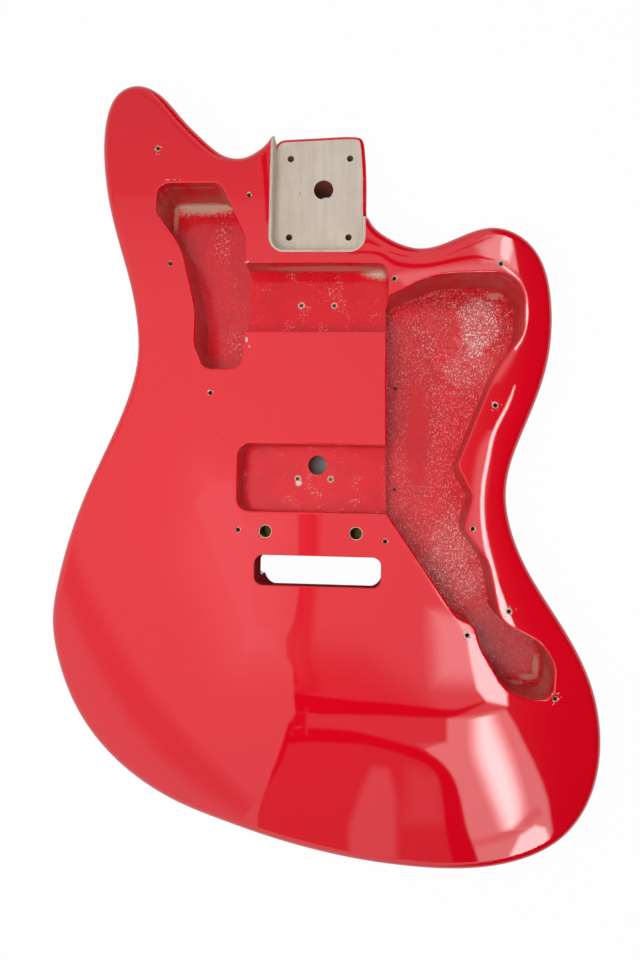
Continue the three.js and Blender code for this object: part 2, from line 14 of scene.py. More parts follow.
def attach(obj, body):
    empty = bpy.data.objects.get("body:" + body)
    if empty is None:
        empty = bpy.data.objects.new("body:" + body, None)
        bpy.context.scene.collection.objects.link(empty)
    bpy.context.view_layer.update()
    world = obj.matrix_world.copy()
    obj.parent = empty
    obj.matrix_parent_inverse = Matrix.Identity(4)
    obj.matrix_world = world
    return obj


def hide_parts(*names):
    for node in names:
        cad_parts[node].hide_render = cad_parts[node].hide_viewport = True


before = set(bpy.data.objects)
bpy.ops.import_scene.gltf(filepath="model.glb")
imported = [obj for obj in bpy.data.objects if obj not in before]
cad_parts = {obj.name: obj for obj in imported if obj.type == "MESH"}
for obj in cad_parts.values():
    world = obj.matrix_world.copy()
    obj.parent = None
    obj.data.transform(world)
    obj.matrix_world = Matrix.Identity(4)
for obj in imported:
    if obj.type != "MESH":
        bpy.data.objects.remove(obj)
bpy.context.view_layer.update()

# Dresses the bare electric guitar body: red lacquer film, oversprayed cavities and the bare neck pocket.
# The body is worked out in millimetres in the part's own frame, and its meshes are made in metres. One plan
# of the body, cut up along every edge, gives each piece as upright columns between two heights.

LOG = logging.getLogger("guitar_body")
MM = 0.001
SEED = 11

# The outline, anticlockwise from the bass corner of the heel, as shares of the body's width and length
OUTLINE_SHARES = [
    (-0.0995, 0.4319), (-0.1094, 0.4232), (-0.1277, 0.4126), (-0.1519, 0.4037), (-0.1773, 0.4031),
    (-0.2014, 0.4102), (-0.2331, 0.429), (-0.265, 0.4511), (-0.297, 0.4769), (-0.325, 0.4934),
    (-0.3579, 0.5), (-0.3894, 0.4917), (-0.4089, 0.4711), (-0.418, 0.435), (-0.4162, 0.3925),
    (-0.4052, 0.3428), (-0.3842, 0.289), (-0.3607, 0.2344), (-0.3462, 0.1819), (-0.3453, 0.1318),
    (-0.3656, 0.0761), (-0.3987, 0.0204), (-0.435, -0.0358), (-0.4676, -0.0976), (-0.4918, -0.1626),
    (-0.5, -0.2103), (-0.4889, -0.2602), (-0.4573, -0.3166), (-0.4071, -0.366), (-0.3399, -0.4064),
    (-0.2582, -0.4371), (-0.1679, -0.4576), (-0.069, -0.4756), (0.0474, -0.4909), (0.1639, -0.499),
    (0.2688, -0.4983), (0.3593, -0.4852), (0.4355, -0.4546), (0.4839, -0.4028), (0.5, -0.3383),
    (0.4871, -0.2736), (0.4503, -0.2143), (0.3988, -0.157), (0.3559, -0.1035), (0.3314, -0.045),
    (0.3354, 0.0038), (0.3618, 0.0577), (0.3889, 0.1102), (0.4037, 0.1612), (0.4037, 0.2183),
    (0.3873, 0.2658), (0.3525, 0.2972), (0.3006, 0.3106), (0.2477, 0.3013), (0.2042, 0.2885),
    (0.1655, 0.2844), (0.1268, 0.2924), (0.0967, 0.3052), (0.0777, 0.3201), (0.0718, 0.3391),
    (0.0709, 0.376), (0.0657, 0.4264), (0.0608, 0.4375), (0.0488, 0.4408), (-0.0163, 0.44),
    (-0.0747, 0.4383), (-0.0915, 0.4365),
]

# Corners of the horn cavity: shares of its width, of its length, and each corner's radius over its width
HORN_CAVITY_SHARES = [
    (0, 1, 0.14), (0, 0.844, 0.14), (0.298, 0.647, 0.7), (0.461, 0.313, 1.05), (0.46, 0.124, 0.21),
    (0.57, 0, 0.12), (1, 0, 0.16), (1, 0.715, 0.25), (0.702, 1, 0.12),
]

# Corners of the control cavity, in the same way
CONTROL_CAVITY_SHARES = [
    (0, 0.938, 0.03), (0.024, 0.429, 0.02), (0.444, 0.187, 0.16), (0.539, 0.174, 0.08),
    (0.581, 0.121, 0.19), (0.72, 0.027, 0.24), (0.851, 0.004, 0.24), (0.99, 0.01, 0.07),
    (1, 0.088, 0.17), (0.919, 0.136, 0.2), (0.686, 0.184, 0.145), (0.612, 0.323, 0.28),
    (0.47, 0.396, 0.076),
    (0.522, 0.473, 0.067), (0.427, 0.544, 0.057), (0.64, 0.767, 0.57), (0.792, 0.856, 0.17),
    (0.797, 1, 0.19), (0.288, 0.996, 0.57),
]

# Pilot holes of the pickguard and control plates: shares of the body's width and length
GUARD_PILOT_SHARES = [
    (-0.3116, 0.412), (-0.1413, 0.3501), (-0.2831, 0.2613), (-0.2035, 0.0938), (-0.1471, -0.0813),
    (0.1174, -0.0914), (0.1247, 0.2419), (0.3122, 0.2611), (0.3064, 0.0823), (0.2706, -0.073),
    (0.336, -0.1746), (0.2642, -0.206), (0.4177, -0.2805),
]

# Drill marks in the floor of the control cavity: shares of its width and length
CONTROL_FLOOR_MARK_SHARES = [(0.071, 0.743), (0.078, 0.486)]


class Side(Enum):
    """The face of the body that a cut opens at."""

    FRONT = "front"
    BACK = "back"


class Finish(Enum):
    """What a face of a board shows, in the order of the boards' material slots."""

    RAW = 0
    BARE = 1
    OVERSPRAY = 2
    BORE = 3
    CHIP = 4
    PICKUP = 5
    SLOT = 6
    STAINED = 7
    CONTROL = 8


@dataclass(frozen=True)
class BodySizes:
    """Overall sizes of the body in millimetres."""

    length: float = 484.3
    width: float = 344.0
    thickness: float = 44.5
    centreline_x: float = -5.6
    stud_line_y: float = -39.9
    film: float = 0.5
    side_film: float = 0.55
    edge_radius: float = 6.0
    heel_edge_radius: float = 2.5
    bass_joint_offset: float = 55.0
    treble_joint_offset: float = 62.0
    forearm_depth: float = 10.0
    forearm_reach: float = 62.0
    belly_depth: float = 14.0
    belly_reach: float = 70.0
    crown_slope: float = 0.05
    crown_reach: float = 34.0
    heel_start_share: float = 0.85
    heel_blend_share: float = 0.03
    forearm_shares: tuple[float, float] = (0.31, 0.5)
    belly_shares: tuple[float, float] = (0.215, 0.355)


@dataclass(frozen=True)
class PocketSizes:
    """Sizes of the neck pocket in millimetres."""

    width: float = 56.6
    depth: float = 15.9
    corner_radius: float = 8.0
    from_studs: float = 175.5
    treble_wall: float = 21.0
    bolt_across: float = 38.1
    bolt_along: float = 50.8
    bolt_from_end: float = 12.4
    bolt_hole: float = 4.2
    heel_hole: float = 12.5
    heel_hole_off_centre: float = 2.5
    heel_hole_from_end: float = 43.0
    bare_margin: float = 1.9
    mouth_radius: float = 1.4
    tip_worn_off: float = 2.6
    tip_reach: float = 5.5


@dataclass(frozen=True)
class CavitySizes:
    """Sizes of the cavities that open at the front, in millimetres."""

    horn_length: float = 116.7
    horn_width: float = 57.0
    deep: float = 38.1
    horn_from_centreline: float = 44.5
    horn_from_studs: float = 100.5
    control_length: float = 260.0
    control_width: float = 105.0
    control_from_centreline: float = 43.8
    control_below_studs: float = 98.5
    pickup_depth: float = 22.0
    neck_length: float = 42.5
    neck_from_studs: float = 124.2
    neck_treble_reach: float = 44.8
    neck_corner: float = 7.0
    bridge_length: float = 41.9
    bridge_from_studs: float = 12.4
    bridge_bass_reach: float = 46.1
    bridge_corner: float = 8.0
    meeting: float = 5.0
    pickup_screws: float = 21.2
    wire_hole: float = 12.2
    wire_hole_off_centre: float = 2.0
    wire_hole_from_studs: float = 42.3
    mouth_reach: float = 1.3


@dataclass(frozen=True)
class TremoloSizes:
    """Sizes of the stud holes, the slot and the cavities at the back, in millimetres."""

    stud_spacing: float = 56.0
    stud_hole: float = 8.3
    stud_bore: float = 7.5
    stud_rim_depth: float = 0.9
    stud_depth: float = 24.0
    slot_width: float = 78.1
    slot_length: float = 18.6
    slot_corner: float = 5.5
    slot_off_centre: float = 4.75
    slot_behind_studs: float = 14.5
    spring_width: float = 70.4
    spring_length: float = 120.0
    spring_depth: float = 16.5
    spring_off_centre: float = -3.2
    spring_behind_slot_edge: float = 15.3
    spring_corner: float = 6.0
    block_margin: float = 1.7
    block_near_margin: float = 3.7
    block_ceiling: float = 30.0
    block_bass_inset: float = 0.8
    block_treble_extra: float = 0.9
    block_corner: float = 9.0


@dataclass(frozen=True)
class PilotSizes:
    """Sizes of the screw pilot holes in millimetres."""

    diameter: float = 2.6
    depth: float = 12.0
    floor_depth: float = 4.0
    cover_margin: float = 8.0
    sides: int = 14
    large_sides: int = 40
    large_from: float = 6.0


BODY = BodySizes()
POCKET = PocketSizes()
CAVITY = CavitySizes()
TREMOLO = TremoloSizes()
PILOT = PilotSizes()

# Levels of the front cavities' floors, and the level below the back that a through hole goes down to
POCKET_FLOOR = BODY.thickness - POCKET.depth
PICKUP_FLOOR = BODY.thickness - CAVITY.pickup_depth
DEEP_FLOOR = BODY.thickness - CAVITY.deep
THROUGH_LEVEL = -5.0

# How far back from a plain cut's mouth the lacquer rounds over, and the two sides of a pair as shares
PLAIN_MOUTH = 0.5
HALVES = (-0.5, 0.5)

# Spacing of the points along edges, on the open faces, and the least distance of a face point from an edge
EDGE_STEP = 1.1
FACE_STEP = 4.2
FACE_GAP = 1.0

# Points along a cut's outline: the longest side, the turn from point to point round a corner, and the most
# of a side that the corner takes up
LONGEST_SIDE = 2.5
ARC_STEP = math.pi / 36
CORNER_SHARE = 0.48

# Rows of points across the body's rounded edge and across a rounded mouth, and the height of an even triangle
EDGE_ROUNDING_STEPS = 9
MOUTH_ROUNDING_STEPS = 3
ROW_SHARE = math.sqrt(0.75)

# The grid that the soft heights are kept on, and how far it goes past the body
FIELD_STEP = 2.0
FIELD_MARGIN = 6.0

# The distance below which heights and places are the same, and the cosine above which walls shade as one
MERGE = 1e-4
SMOOTH_COSINE = math.cos(math.radians(38))

# How many points are compared with a loop at a time
INSIDE_CHUNK = 4000
NEAREST_CHUNK = 3000


def quarter_insets(steps: int) -> list[float]:
    """How far in the points of a quarter round lie, as shares of its radius, from its edge inwards."""
    return [1 - math.cos(math.pi / 2 * step / steps) for step in range(steps + 1)]


def cross2(a: np.ndarray, b: np.ndarray) -> np.ndarray:
    """The flat cross product of two arrays of vectors."""
    return a[..., 0] * b[..., 1] - a[..., 1] * b[..., 0]


def unit(vectors: np.ndarray) -> np.ndarray:
    """The vectors, one a row, at length one."""
    return vectors / np.linalg.norm(vectors, axis=1)[:, None]


def turning(angle: float) -> np.ndarray:
    """The matrix that turns flat vectors by an angle."""
    return np.array([[math.cos(angle), -math.sin(angle)], [math.sin(angle), math.cos(angle)]])


def inside(points: np.ndarray, loop: np.ndarray) -> np.ndarray:
    """Tests which points lie in a closed loop.

    Args:
        points: Places, one a row.
        loop: The loop's corners in order.

    Returns:
        One truth value a point.
    """
    result = np.zeros(len(points), bool)
    low, high = loop.min(0), loop.max(0)
    near = np.flatnonzero(np.all((points >= low) & (points <= high), axis=1))
    start, end = loop, np.roll(loop, -1, axis=0)
    rise = np.where(start[:, 1] == end[:, 1], 1.0, end[:, 1] - start[:, 1])
    for chunk in np.array_split(near, max(1, len(near) // INSIDE_CHUNK)):
        x, y = points[chunk, 0][:, None], points[chunk, 1][:, None]
        spans = (start[:, 1] > y) != (end[:, 1] > y)
        crossing = start[:, 0] + (y - start[:, 1]) * (end[:, 0] - start[:, 0]) / rise
        result[chunk] = (spans & (x < crossing)).sum(1) % 2 == 1
    return result


class Nearest:
    """The nearest place on a closed loop, with its distance and the flat direction away from it."""

    def __init__(self, loop: np.ndarray, normals: np.ndarray) -> None:
        """Keeps the loop and the direction at each of its points in which distance grows."""
        self.loop = loop
        self.normals = normals
        self.ahead = np.roll(loop, -1, axis=0) - loop

    def __call__(self, points: np.ndarray) -> tuple[np.ndarray, np.ndarray, np.ndarray]:
        """Finds the nearest places.

        Args:
            points: Places, one a row.

        Returns:
            Signed distances, unit directions, and places along the loop as point numbers with a fraction.
        """
        count = len(self.loop)
        best = np.zeros(len(points), int)
        squares = (self.loop ** 2).sum(1)
        for chunk in np.array_split(np.arange(len(points)), max(1, len(points) // NEAREST_CHUNK)):
            best[chunk] = (squares - 2 * points[chunk] @ self.loop.T).argmin(1)
        distance = np.full(len(points), np.inf)
        along = np.zeros(len(points))
        foot = np.zeros_like(points)
        for start in (best, (best - 1) % count):
            step = self.ahead[start]
            share = ((points - self.loop[start]) * step).sum(1) / (step ** 2).sum(1)
            share = np.clip(share, 0, 1)
            place = self.loop[start] + step * share[:, None]
            length = np.linalg.norm(points - place, axis=1)
            better = length < distance
            distance[better] = length[better]
            along[better] = (start + share)[better]
            foot[better] = place[better]
        first = along.astype(int) % count
        part = (along - along.astype(int))[:, None]
        direction = unit(self.normals[first] * (1 - part) + self.normals[(first + 1) % count] * part)
        sign = np.where(((points - foot) * direction).sum(1) < 0, -1.0, 1.0)
        return distance * sign, direction, along


def loop_normals(loop: np.ndarray, outward: bool) -> np.ndarray:
    """Unit directions square to a closed anticlockwise loop at each of its points."""
    ahead = unit(np.roll(loop, -1, axis=0) - np.roll(loop, 1, axis=0))
    normals = np.stack([ahead[:, 1], -ahead[:, 0]], 1)
    return normals if outward else -normals


class Outline:
    """The body's outline as a smooth closed curve through its listed points."""

    # Samples from one listed point to the next
    CURVE_PARTS = 48

    def __init__(self, sizes: BodySizes) -> None:
        """Lays the curve and samples it evenly."""
        points = np.array(OUTLINE_SHARES) * (sizes.width, sizes.length)
        dense, shares = self._curve(points)
        self.loop, self.shares = self._even(dense, shares)
        self._fit_box(sizes)
        self.inward = loop_normals(self.loop, outward=False)
        self.nearest = Nearest(self.loop, self.inward)
        self.radius = self._edge_radius(self.shares, sizes)

    @classmethod
    def _curve(cls, points: np.ndarray) -> tuple[np.ndarray, np.ndarray]:
        """Samples a periodic cubic spline, with knots by the root of each chord.

        Args:
            points: The listed points.

        Returns:
            Close samples, and each sample's share of the way through the points in order.
        """
        count = len(points)
        chord = np.sqrt(np.linalg.norm(np.roll(points, -1, axis=0) - points, axis=1))
        before = np.roll(chord, 1)
        slope = (np.roll(points, -1, axis=0) - points) / chord[:, None]
        system = np.diag(2 * (before + chord))
        for row in range(count):
            system[row, (row + 1) % count] += chord[row]
            system[row, (row - 1) % count] += before[row]
        bends = np.linalg.solve(system, 6 * (slope - np.roll(slope, 1, axis=0)))
        parts = np.linspace(0, 1, cls.CURVE_PARTS, endpoint=False)
        samples, shares = [], []
        for row in range(count):
            after = (row + 1) % count
            ahead = (parts * chord[row])[:, None]
            back = chord[row] - ahead
            samples.append(
                (bends[row] * back ** 3 + bends[after] * ahead ** 3) / (6 * chord[row])
                + (points[row] / chord[row] - bends[row] * chord[row] / 6) * back
                + (points[after] / chord[row] - bends[after] * chord[row] / 6) * ahead
            )
            shares.append((row + parts) / count)
        return np.concatenate(samples), np.concatenate(shares)

    @staticmethod
    def _even(dense: np.ndarray, shares: np.ndarray) -> tuple[np.ndarray, np.ndarray]:
        """Picks samples an even step apart along the curve, with their shares."""
        closed = np.vstack([dense, dense[:1]])
        lengths = np.concatenate([[0], np.cumsum(np.linalg.norm(np.diff(closed, axis=0), axis=1))])
        wanted = np.linspace(0, lengths[-1], round(lengths[-1] / EDGE_STEP), endpoint=False)
        whole = np.append(shares, 1.0)
        loop = np.stack([np.interp(wanted, lengths, closed[:, axis]) for axis in (0, 1)], 1)
        return loop, np.interp(wanted, lengths, whole)

    def _fit_box(self, sizes: BodySizes) -> None:
        """Fits the curve exactly into the body's width and length."""
        low, high = self.loop.min(0), self.loop.max(0)
        middle = (low + high) / 2
        self.loop = (self.loop - middle) * (np.array([sizes.width, sizes.length]) / (high - low))

    @staticmethod
    def _edge_radius(shares: np.ndarray, sizes: BodySizes) -> np.ndarray:
        """The edge's rounding at each share: finer round the heel."""
        into = smooth_step((shares - sizes.heel_start_share) / sizes.heel_blend_share)
        out = 1 - smooth_step(shares / sizes.heel_blend_share)
        heel = np.maximum(into, out)
        return sizes.edge_radius + (sizes.heel_edge_radius - sizes.edge_radius) * heel

    def at(self, along: np.ndarray, values: np.ndarray) -> np.ndarray:
        """Values kept at the samples, read at places between them."""
        whole = np.append(values, values[0])
        return np.interp(along % len(values), np.arange(len(whole)), whole)

    def share_at(self, along: np.ndarray) -> np.ndarray:
        """How far round the outline, as a share, places between the samples are."""
        whole = np.append(self.shares, 1.0)
        return np.interp(along % len(self.shares), np.arange(len(whole)), whole)

    def inset(self, distances: np.ndarray | float) -> np.ndarray:
        """The outline drawn in by a distance, or by one distance a sample."""
        return self.loop + self.inward * np.broadcast_to(distances, len(self.loop))[:, None]


def smooth_step(values: np.ndarray) -> np.ndarray:
    """A soft step from 0 to 1 as the values go from 0 to 1."""
    part = np.clip(values, 0, 1)
    return part * part * (3 - 2 * part)


class SoftField:
    """A soft height over the plan, kept on a fine grid and read between its points."""

    # How fast a contour's reach and depth grow from its ends, and how they die away inwards
    REACH_POWER = 0.6
    DEPTH_POWER = 1.5
    CONTOUR_POWER = 2
    CROWN_POWER = 3

    def __init__(self, outline: Outline, sizes: BodySizes, side: Side) -> None:
        """Works the height out: the contour of one face, and the front's slight crown near its edge."""
        self.low = np.array([-sizes.width, -sizes.length]) / 2 - FIELD_MARGIN
        span = np.array([sizes.width, sizes.length]) + 2 * FIELD_MARGIN
        self.counts = np.ceil(span / FIELD_STEP).astype(int) + 1
        x, y = [self.low[axis] + FIELD_STEP * np.arange(self.counts[axis]) for axis in (0, 1)]
        places = np.stack(np.meshgrid(x, y, indexing="ij"), -1).reshape(-1, 2)
        distance, _, along = outline.nearest(places)
        shares = outline.share_at(along)
        radius = outline.at(along, outline.radius)
        if side is Side.FRONT:
            depth, reach, stretch = sizes.forearm_depth, sizes.forearm_reach, sizes.forearm_shares
            crown = sizes.crown_slope * sizes.crown_reach / self.CROWN_POWER
            height = crown * np.maximum(0, 1 - distance / sizes.crown_reach) ** self.CROWN_POWER
        else:
            depth, reach, stretch = sizes.belly_depth, sizes.belly_reach, sizes.belly_shares
            height = np.zeros(len(places))
        through = np.clip((shares - stretch[0]) / (stretch[1] - stretch[0]), 0, 1)
        swell = np.sin(math.pi * through)
        reaches = radius + (reach - radius) * swell ** self.REACH_POWER
        inwards = np.maximum(0, 1 - distance / reaches) ** self.CONTOUR_POWER
        height = height + depth * swell ** self.DEPTH_POWER * inwards
        self.height = height.reshape(self.counts)
        self.slope = np.stack(np.gradient(self.height, FIELD_STEP), -1)

    def __call__(self, points: np.ndarray) -> tuple[np.ndarray, np.ndarray]:
        """Reads the heights and flat slopes at the points."""
        place = (points - self.low) / FIELD_STEP
        corner = np.clip(place.astype(int), 0, self.counts - 2)
        part = place - corner
        height = np.zeros(len(points))
        slope = np.zeros((len(points), 2))
        for across in (0, 1):
            for along in (0, 1):
                weight = np.where(across, part[:, 0], 1 - part[:, 0])
                weight = weight * np.where(along, part[:, 1], 1 - part[:, 1])
                index = (corner[:, 0] + across, corner[:, 1] + along)
                height += weight * self.height[index]
                slope += weight[:, None] * self.slope[index]
        return height, slope


@dataclass
class Cut:
    """A routed or drilled region: its outline, its level, its finish, its mouth's rounding and its side."""

    loop: np.ndarray
    level: float
    finish: Finish
    mouth_reach: float
    side: Side
    nearest: Nearest = field(init=False)

    def __post_init__(self) -> None:
        """Turns the loop anticlockwise and prepares distances from it."""
        if cross2(self.loop, np.roll(self.loop, -1, axis=0)).sum() < 0:
            self.loop = self.loop[::-1].copy()
        self.nearest = Nearest(self.loop, loop_normals(self.loop, outward=True))

    def grown(self, distance: float) -> np.ndarray:
        """The loop moved outwards by a distance."""
        return self.loop + self.nearest.normals * distance


def rounded_outline(corners: Sequence[tuple[float, float, float]]) -> np.ndarray:
    """Points of a closed outline whose corners are rounded off by arcs.

    Args:
        corners: Each corner's place and its radius.

    Returns:
        Points along the outline, close together.
    """
    places = [np.array(corner[:2], float) for corner in corners]
    points: list[np.ndarray] = []
    for index, (place, corner) in enumerate(zip(places, corners)):
        if corner[2] == 0:
            points.append(place)
            continue
        back = places[index - 1] - place
        ahead = places[(index + 1) % len(places)] - place
        shortest = min(np.linalg.norm(back), np.linalg.norm(ahead))
        back, ahead = back / np.linalg.norm(back), ahead / np.linalg.norm(ahead)
        half = math.acos(float(np.clip(back @ ahead, -1, 1))) / 2
        reach = min(corner[2] / math.tan(half), shortest * CORNER_SHARE)
        middle = (back + ahead) / np.linalg.norm(back + ahead)
        centre = place + middle * reach / math.cos(half)
        spoke = place + back * reach - centre
        sweep = (math.pi - 2 * half) * np.sign(cross2(spoke, place + ahead * reach - centre))
        steps = max(2, round(abs(sweep) / ARC_STEP))
        for step in range(steps + 1):
            points.append(centre + turning(sweep * step / steps) @ spoke)
    return subdivide(np.array(points))


def subdivide(loop: np.ndarray, longest: float = LONGEST_SIDE) -> np.ndarray:
    """Adds points to a closed loop so that no side is longer than a step."""
    points = []
    for start, end in zip(loop, np.roll(loop, -1, axis=0)):
        steps = max(1, math.ceil(np.linalg.norm(end - start) / longest))
        points.extend(start + (end - start) * step / steps for step in range(steps))
    return np.array(points)


def circle(x: float, y: float, diameter: float, sides: int) -> np.ndarray:
    """Points of a round hole's outline."""
    turns = np.arange(sides) * 2 * math.pi / sides
    return np.stack([x + np.cos(turns) * diameter / 2, y + np.sin(turns) * diameter / 2], 1)


def rectangle(left: float, near: float, right: float, far: float, radii: Sequence[float]) -> np.ndarray:
    """A box outline with a radius at each corner, anticlockwise from the low one."""
    corners = [(left, near), (right, near), (right, far), (left, far)]
    return rounded_outline([(*corner, radius) for corner, radius in zip(corners, radii)])


def shared_outline(
    shares: Sequence[tuple[float, float, float]], left: float, near: float, width: float, length: float,
) -> np.ndarray:
    """An outline from a table of shares over a box."""
    return rounded_outline([(left + a * width, near + b * length, r * width) for a, b, r in shares])


class Routing:
    """Every cut in the body."""

    def __init__(self) -> None:
        """Lists the cuts."""
        self.cuts: list[Cut] = []
        self.pocket = self._neck_pocket()
        self._guard_cavities()
        self._tremolo()
        self._guard_pilots()

    def _add(
        self, loop: np.ndarray, level: float, finish: Finish, mouth_reach: float = PLAIN_MOUTH,
        side: Side = Side.FRONT,
    ) -> Cut:
        """Adds one cut to the list and returns it."""
        self.cuts.append(Cut(loop, level, finish, mouth_reach, side))
        return self.cuts[-1]

    def _hole(
        self, x: float, y: float, diameter: float, level: float, finish: Finish, mouth_reach: float = 0.0,
        side: Side = Side.FRONT,
    ) -> None:
        """Adds a round hole, with more sides if it is a large one."""
        sides = PILOT.large_sides if diameter > PILOT.large_from else PILOT.sides
        self._add(circle(x, y, diameter, sides), level, finish, mouth_reach, side)

    def _neck_pocket(self) -> Cut:
        """The neck pocket, its bolt holes and the larger hole through the heel."""
        middle, end = BODY.centreline_x, BODY.stud_line_y + POCKET.from_studs
        left, right = middle - POCKET.width / 2, middle + POCKET.width / 2
        wall_end = end + POCKET.treble_wall
        beyond = BODY.length / 2 + POCKET.corner_radius
        clear = right + POCKET.width / 2
        outline = rounded_outline([
            (left, end, POCKET.corner_radius), (right, end, POCKET.corner_radius), (right, wall_end, 0),
            (clear, wall_end, 0), (clear, beyond, 0), (left, beyond, 0),
        ])
        pocket = self._add(outline, POCKET_FLOOR, Finish.BARE, 0.0)
        for across in HALVES:
            for along in (0, 1):
                x = middle + across * POCKET.bolt_across
                y = end + POCKET.bolt_from_end + along * POCKET.bolt_along
                self._hole(x, y, POCKET.bolt_hole, THROUGH_LEVEL, Finish.BORE)
        self._hole(
            middle + POCKET.heel_hole_off_centre, end + POCKET.heel_hole_from_end, POCKET.heel_hole,
            THROUGH_LEVEL, Finish.STAINED,
        )
        return pocket

    def _guard_cavities(self) -> None:
        """The horn, control and pickup cavities, and the holes and marks in their floors."""
        middle, studs = BODY.centreline_x, BODY.stud_line_y
        horn_right = middle - CAVITY.horn_from_centreline
        left, near = middle + CAVITY.control_from_centreline, studs - CAVITY.control_below_studs
        neck_near, bridge_near = studs + CAVITY.neck_from_studs, studs + CAVITY.bridge_from_studs
        horn = shared_outline(
            HORN_CAVITY_SHARES, horn_right - CAVITY.horn_width, studs + CAVITY.horn_from_studs,
            CAVITY.horn_width, CAVITY.horn_length,
        )
        control = shared_outline(
            CONTROL_CAVITY_SHARES, left, near, CAVITY.control_width, CAVITY.control_length,
        )
        neck = rectangle(
            horn_right - CAVITY.meeting, neck_near, middle + CAVITY.neck_treble_reach,
            neck_near + CAVITY.neck_length, (0, 0, CAVITY.neck_corner, 0),
        )
        bridge = rectangle(
            middle - CAVITY.bridge_bass_reach, bridge_near, left + CAVITY.meeting,
            bridge_near + CAVITY.bridge_length, (CAVITY.bridge_corner, 0, 0, CAVITY.bridge_corner),
        )
        for outline, level, finish in (
            (horn, DEEP_FLOOR, Finish.OVERSPRAY), (control, DEEP_FLOOR, Finish.CONTROL),
            (neck, PICKUP_FLOOR, Finish.PICKUP), (bridge, PICKUP_FLOOR, Finish.PICKUP),
        ):
            self._add(outline, level, finish, CAVITY.mouth_reach)
        wire_x, wire_y = middle + CAVITY.wire_hole_off_centre, studs + CAVITY.wire_hole_from_studs
        self._hole(wire_x, wire_y, CAVITY.wire_hole, THROUGH_LEVEL, Finish.SLOT)
        for across, along in CONTROL_FLOOR_MARK_SHARES:
            x, y = left + across * CAVITY.control_width, near + along * CAVITY.control_length
            self._hole(x, y, PILOT.diameter, DEEP_FLOOR - PILOT.floor_depth, Finish.BORE)
        for y in (neck_near + CAVITY.neck_length / 2, bridge_near + CAVITY.bridge_length / 2):
            for across in HALVES:
                x = middle + across * CAVITY.pickup_screws
                self._hole(x, y, PILOT.diameter, PICKUP_FLOOR - PILOT.floor_depth, Finish.BORE)

    def _tremolo(self) -> None:
        """Stud holes and slot at the front, spring cavity, block clearance and cover pilots at the back."""
        studs = BODY.stud_line_y
        for across in HALVES:
            x = BODY.centreline_x + across * TREMOLO.stud_spacing
            rim_level = BODY.thickness - TREMOLO.stud_rim_depth
            self._hole(x, studs, TREMOLO.stud_hole, rim_level, Finish.CHIP, PLAIN_MOUTH)
            self._hole(x, studs, TREMOLO.stud_bore, BODY.thickness - TREMOLO.stud_depth, Finish.BORE)
        far = studs - TREMOLO.slot_behind_studs
        near = far - TREMOLO.slot_length
        middle, half = BODY.centreline_x + TREMOLO.slot_off_centre, TREMOLO.slot_width / 2
        slot = rectangle(middle - half, near, middle + half, far, [TREMOLO.slot_corner] * 4)
        self._add(slot, TREMOLO.spring_depth, Finish.SLOT)
        spring_middle, spring_half = BODY.centreline_x + TREMOLO.spring_off_centre, TREMOLO.spring_width / 2
        spring_near = far - TREMOLO.spring_behind_slot_edge
        spring_far = spring_near + TREMOLO.spring_length
        springs = rectangle(
            spring_middle - spring_half, spring_near, spring_middle + spring_half, spring_far,
            [TREMOLO.spring_corner] * 4,
        )
        self._add(springs, TREMOLO.spring_depth, Finish.OVERSPRAY, side=Side.BACK)
        block = rectangle(
            middle - half + TREMOLO.block_bass_inset, near - TREMOLO.block_near_margin,
            middle + half + TREMOLO.block_treble_extra, far + TREMOLO.block_margin,
            [TREMOLO.block_corner] * 4,
        )
        self._add(block, TREMOLO.block_ceiling, Finish.SLOT, side=Side.BACK)
        across = spring_half + PILOT.cover_margin
        cover_near = near - TREMOLO.block_margin - PILOT.cover_margin
        for y in (cover_near, (cover_near + spring_far) / 2, spring_far):
            for x in (spring_middle - across, spring_middle + across):
                self._hole(x, y, PILOT.diameter, PILOT.depth, Finish.BORE, side=Side.BACK)

    def _guard_pilots(self) -> None:
        """The pickguard's pilot holes."""
        for across, along in GUARD_PILOT_SHARES:
            x, y = across * BODY.width, along * BODY.length
            self._hole(x, y, PILOT.diameter, BODY.thickness - PILOT.depth, Finish.BORE, PLAIN_MOUTH)


@dataclass(frozen=True)
class ChipSpot:
    """A place where the lacquer is chipped off: its middle, its size across and along, and its turn."""

    x: float
    y: float
    across: float
    along: float
    turn: float = 0.0


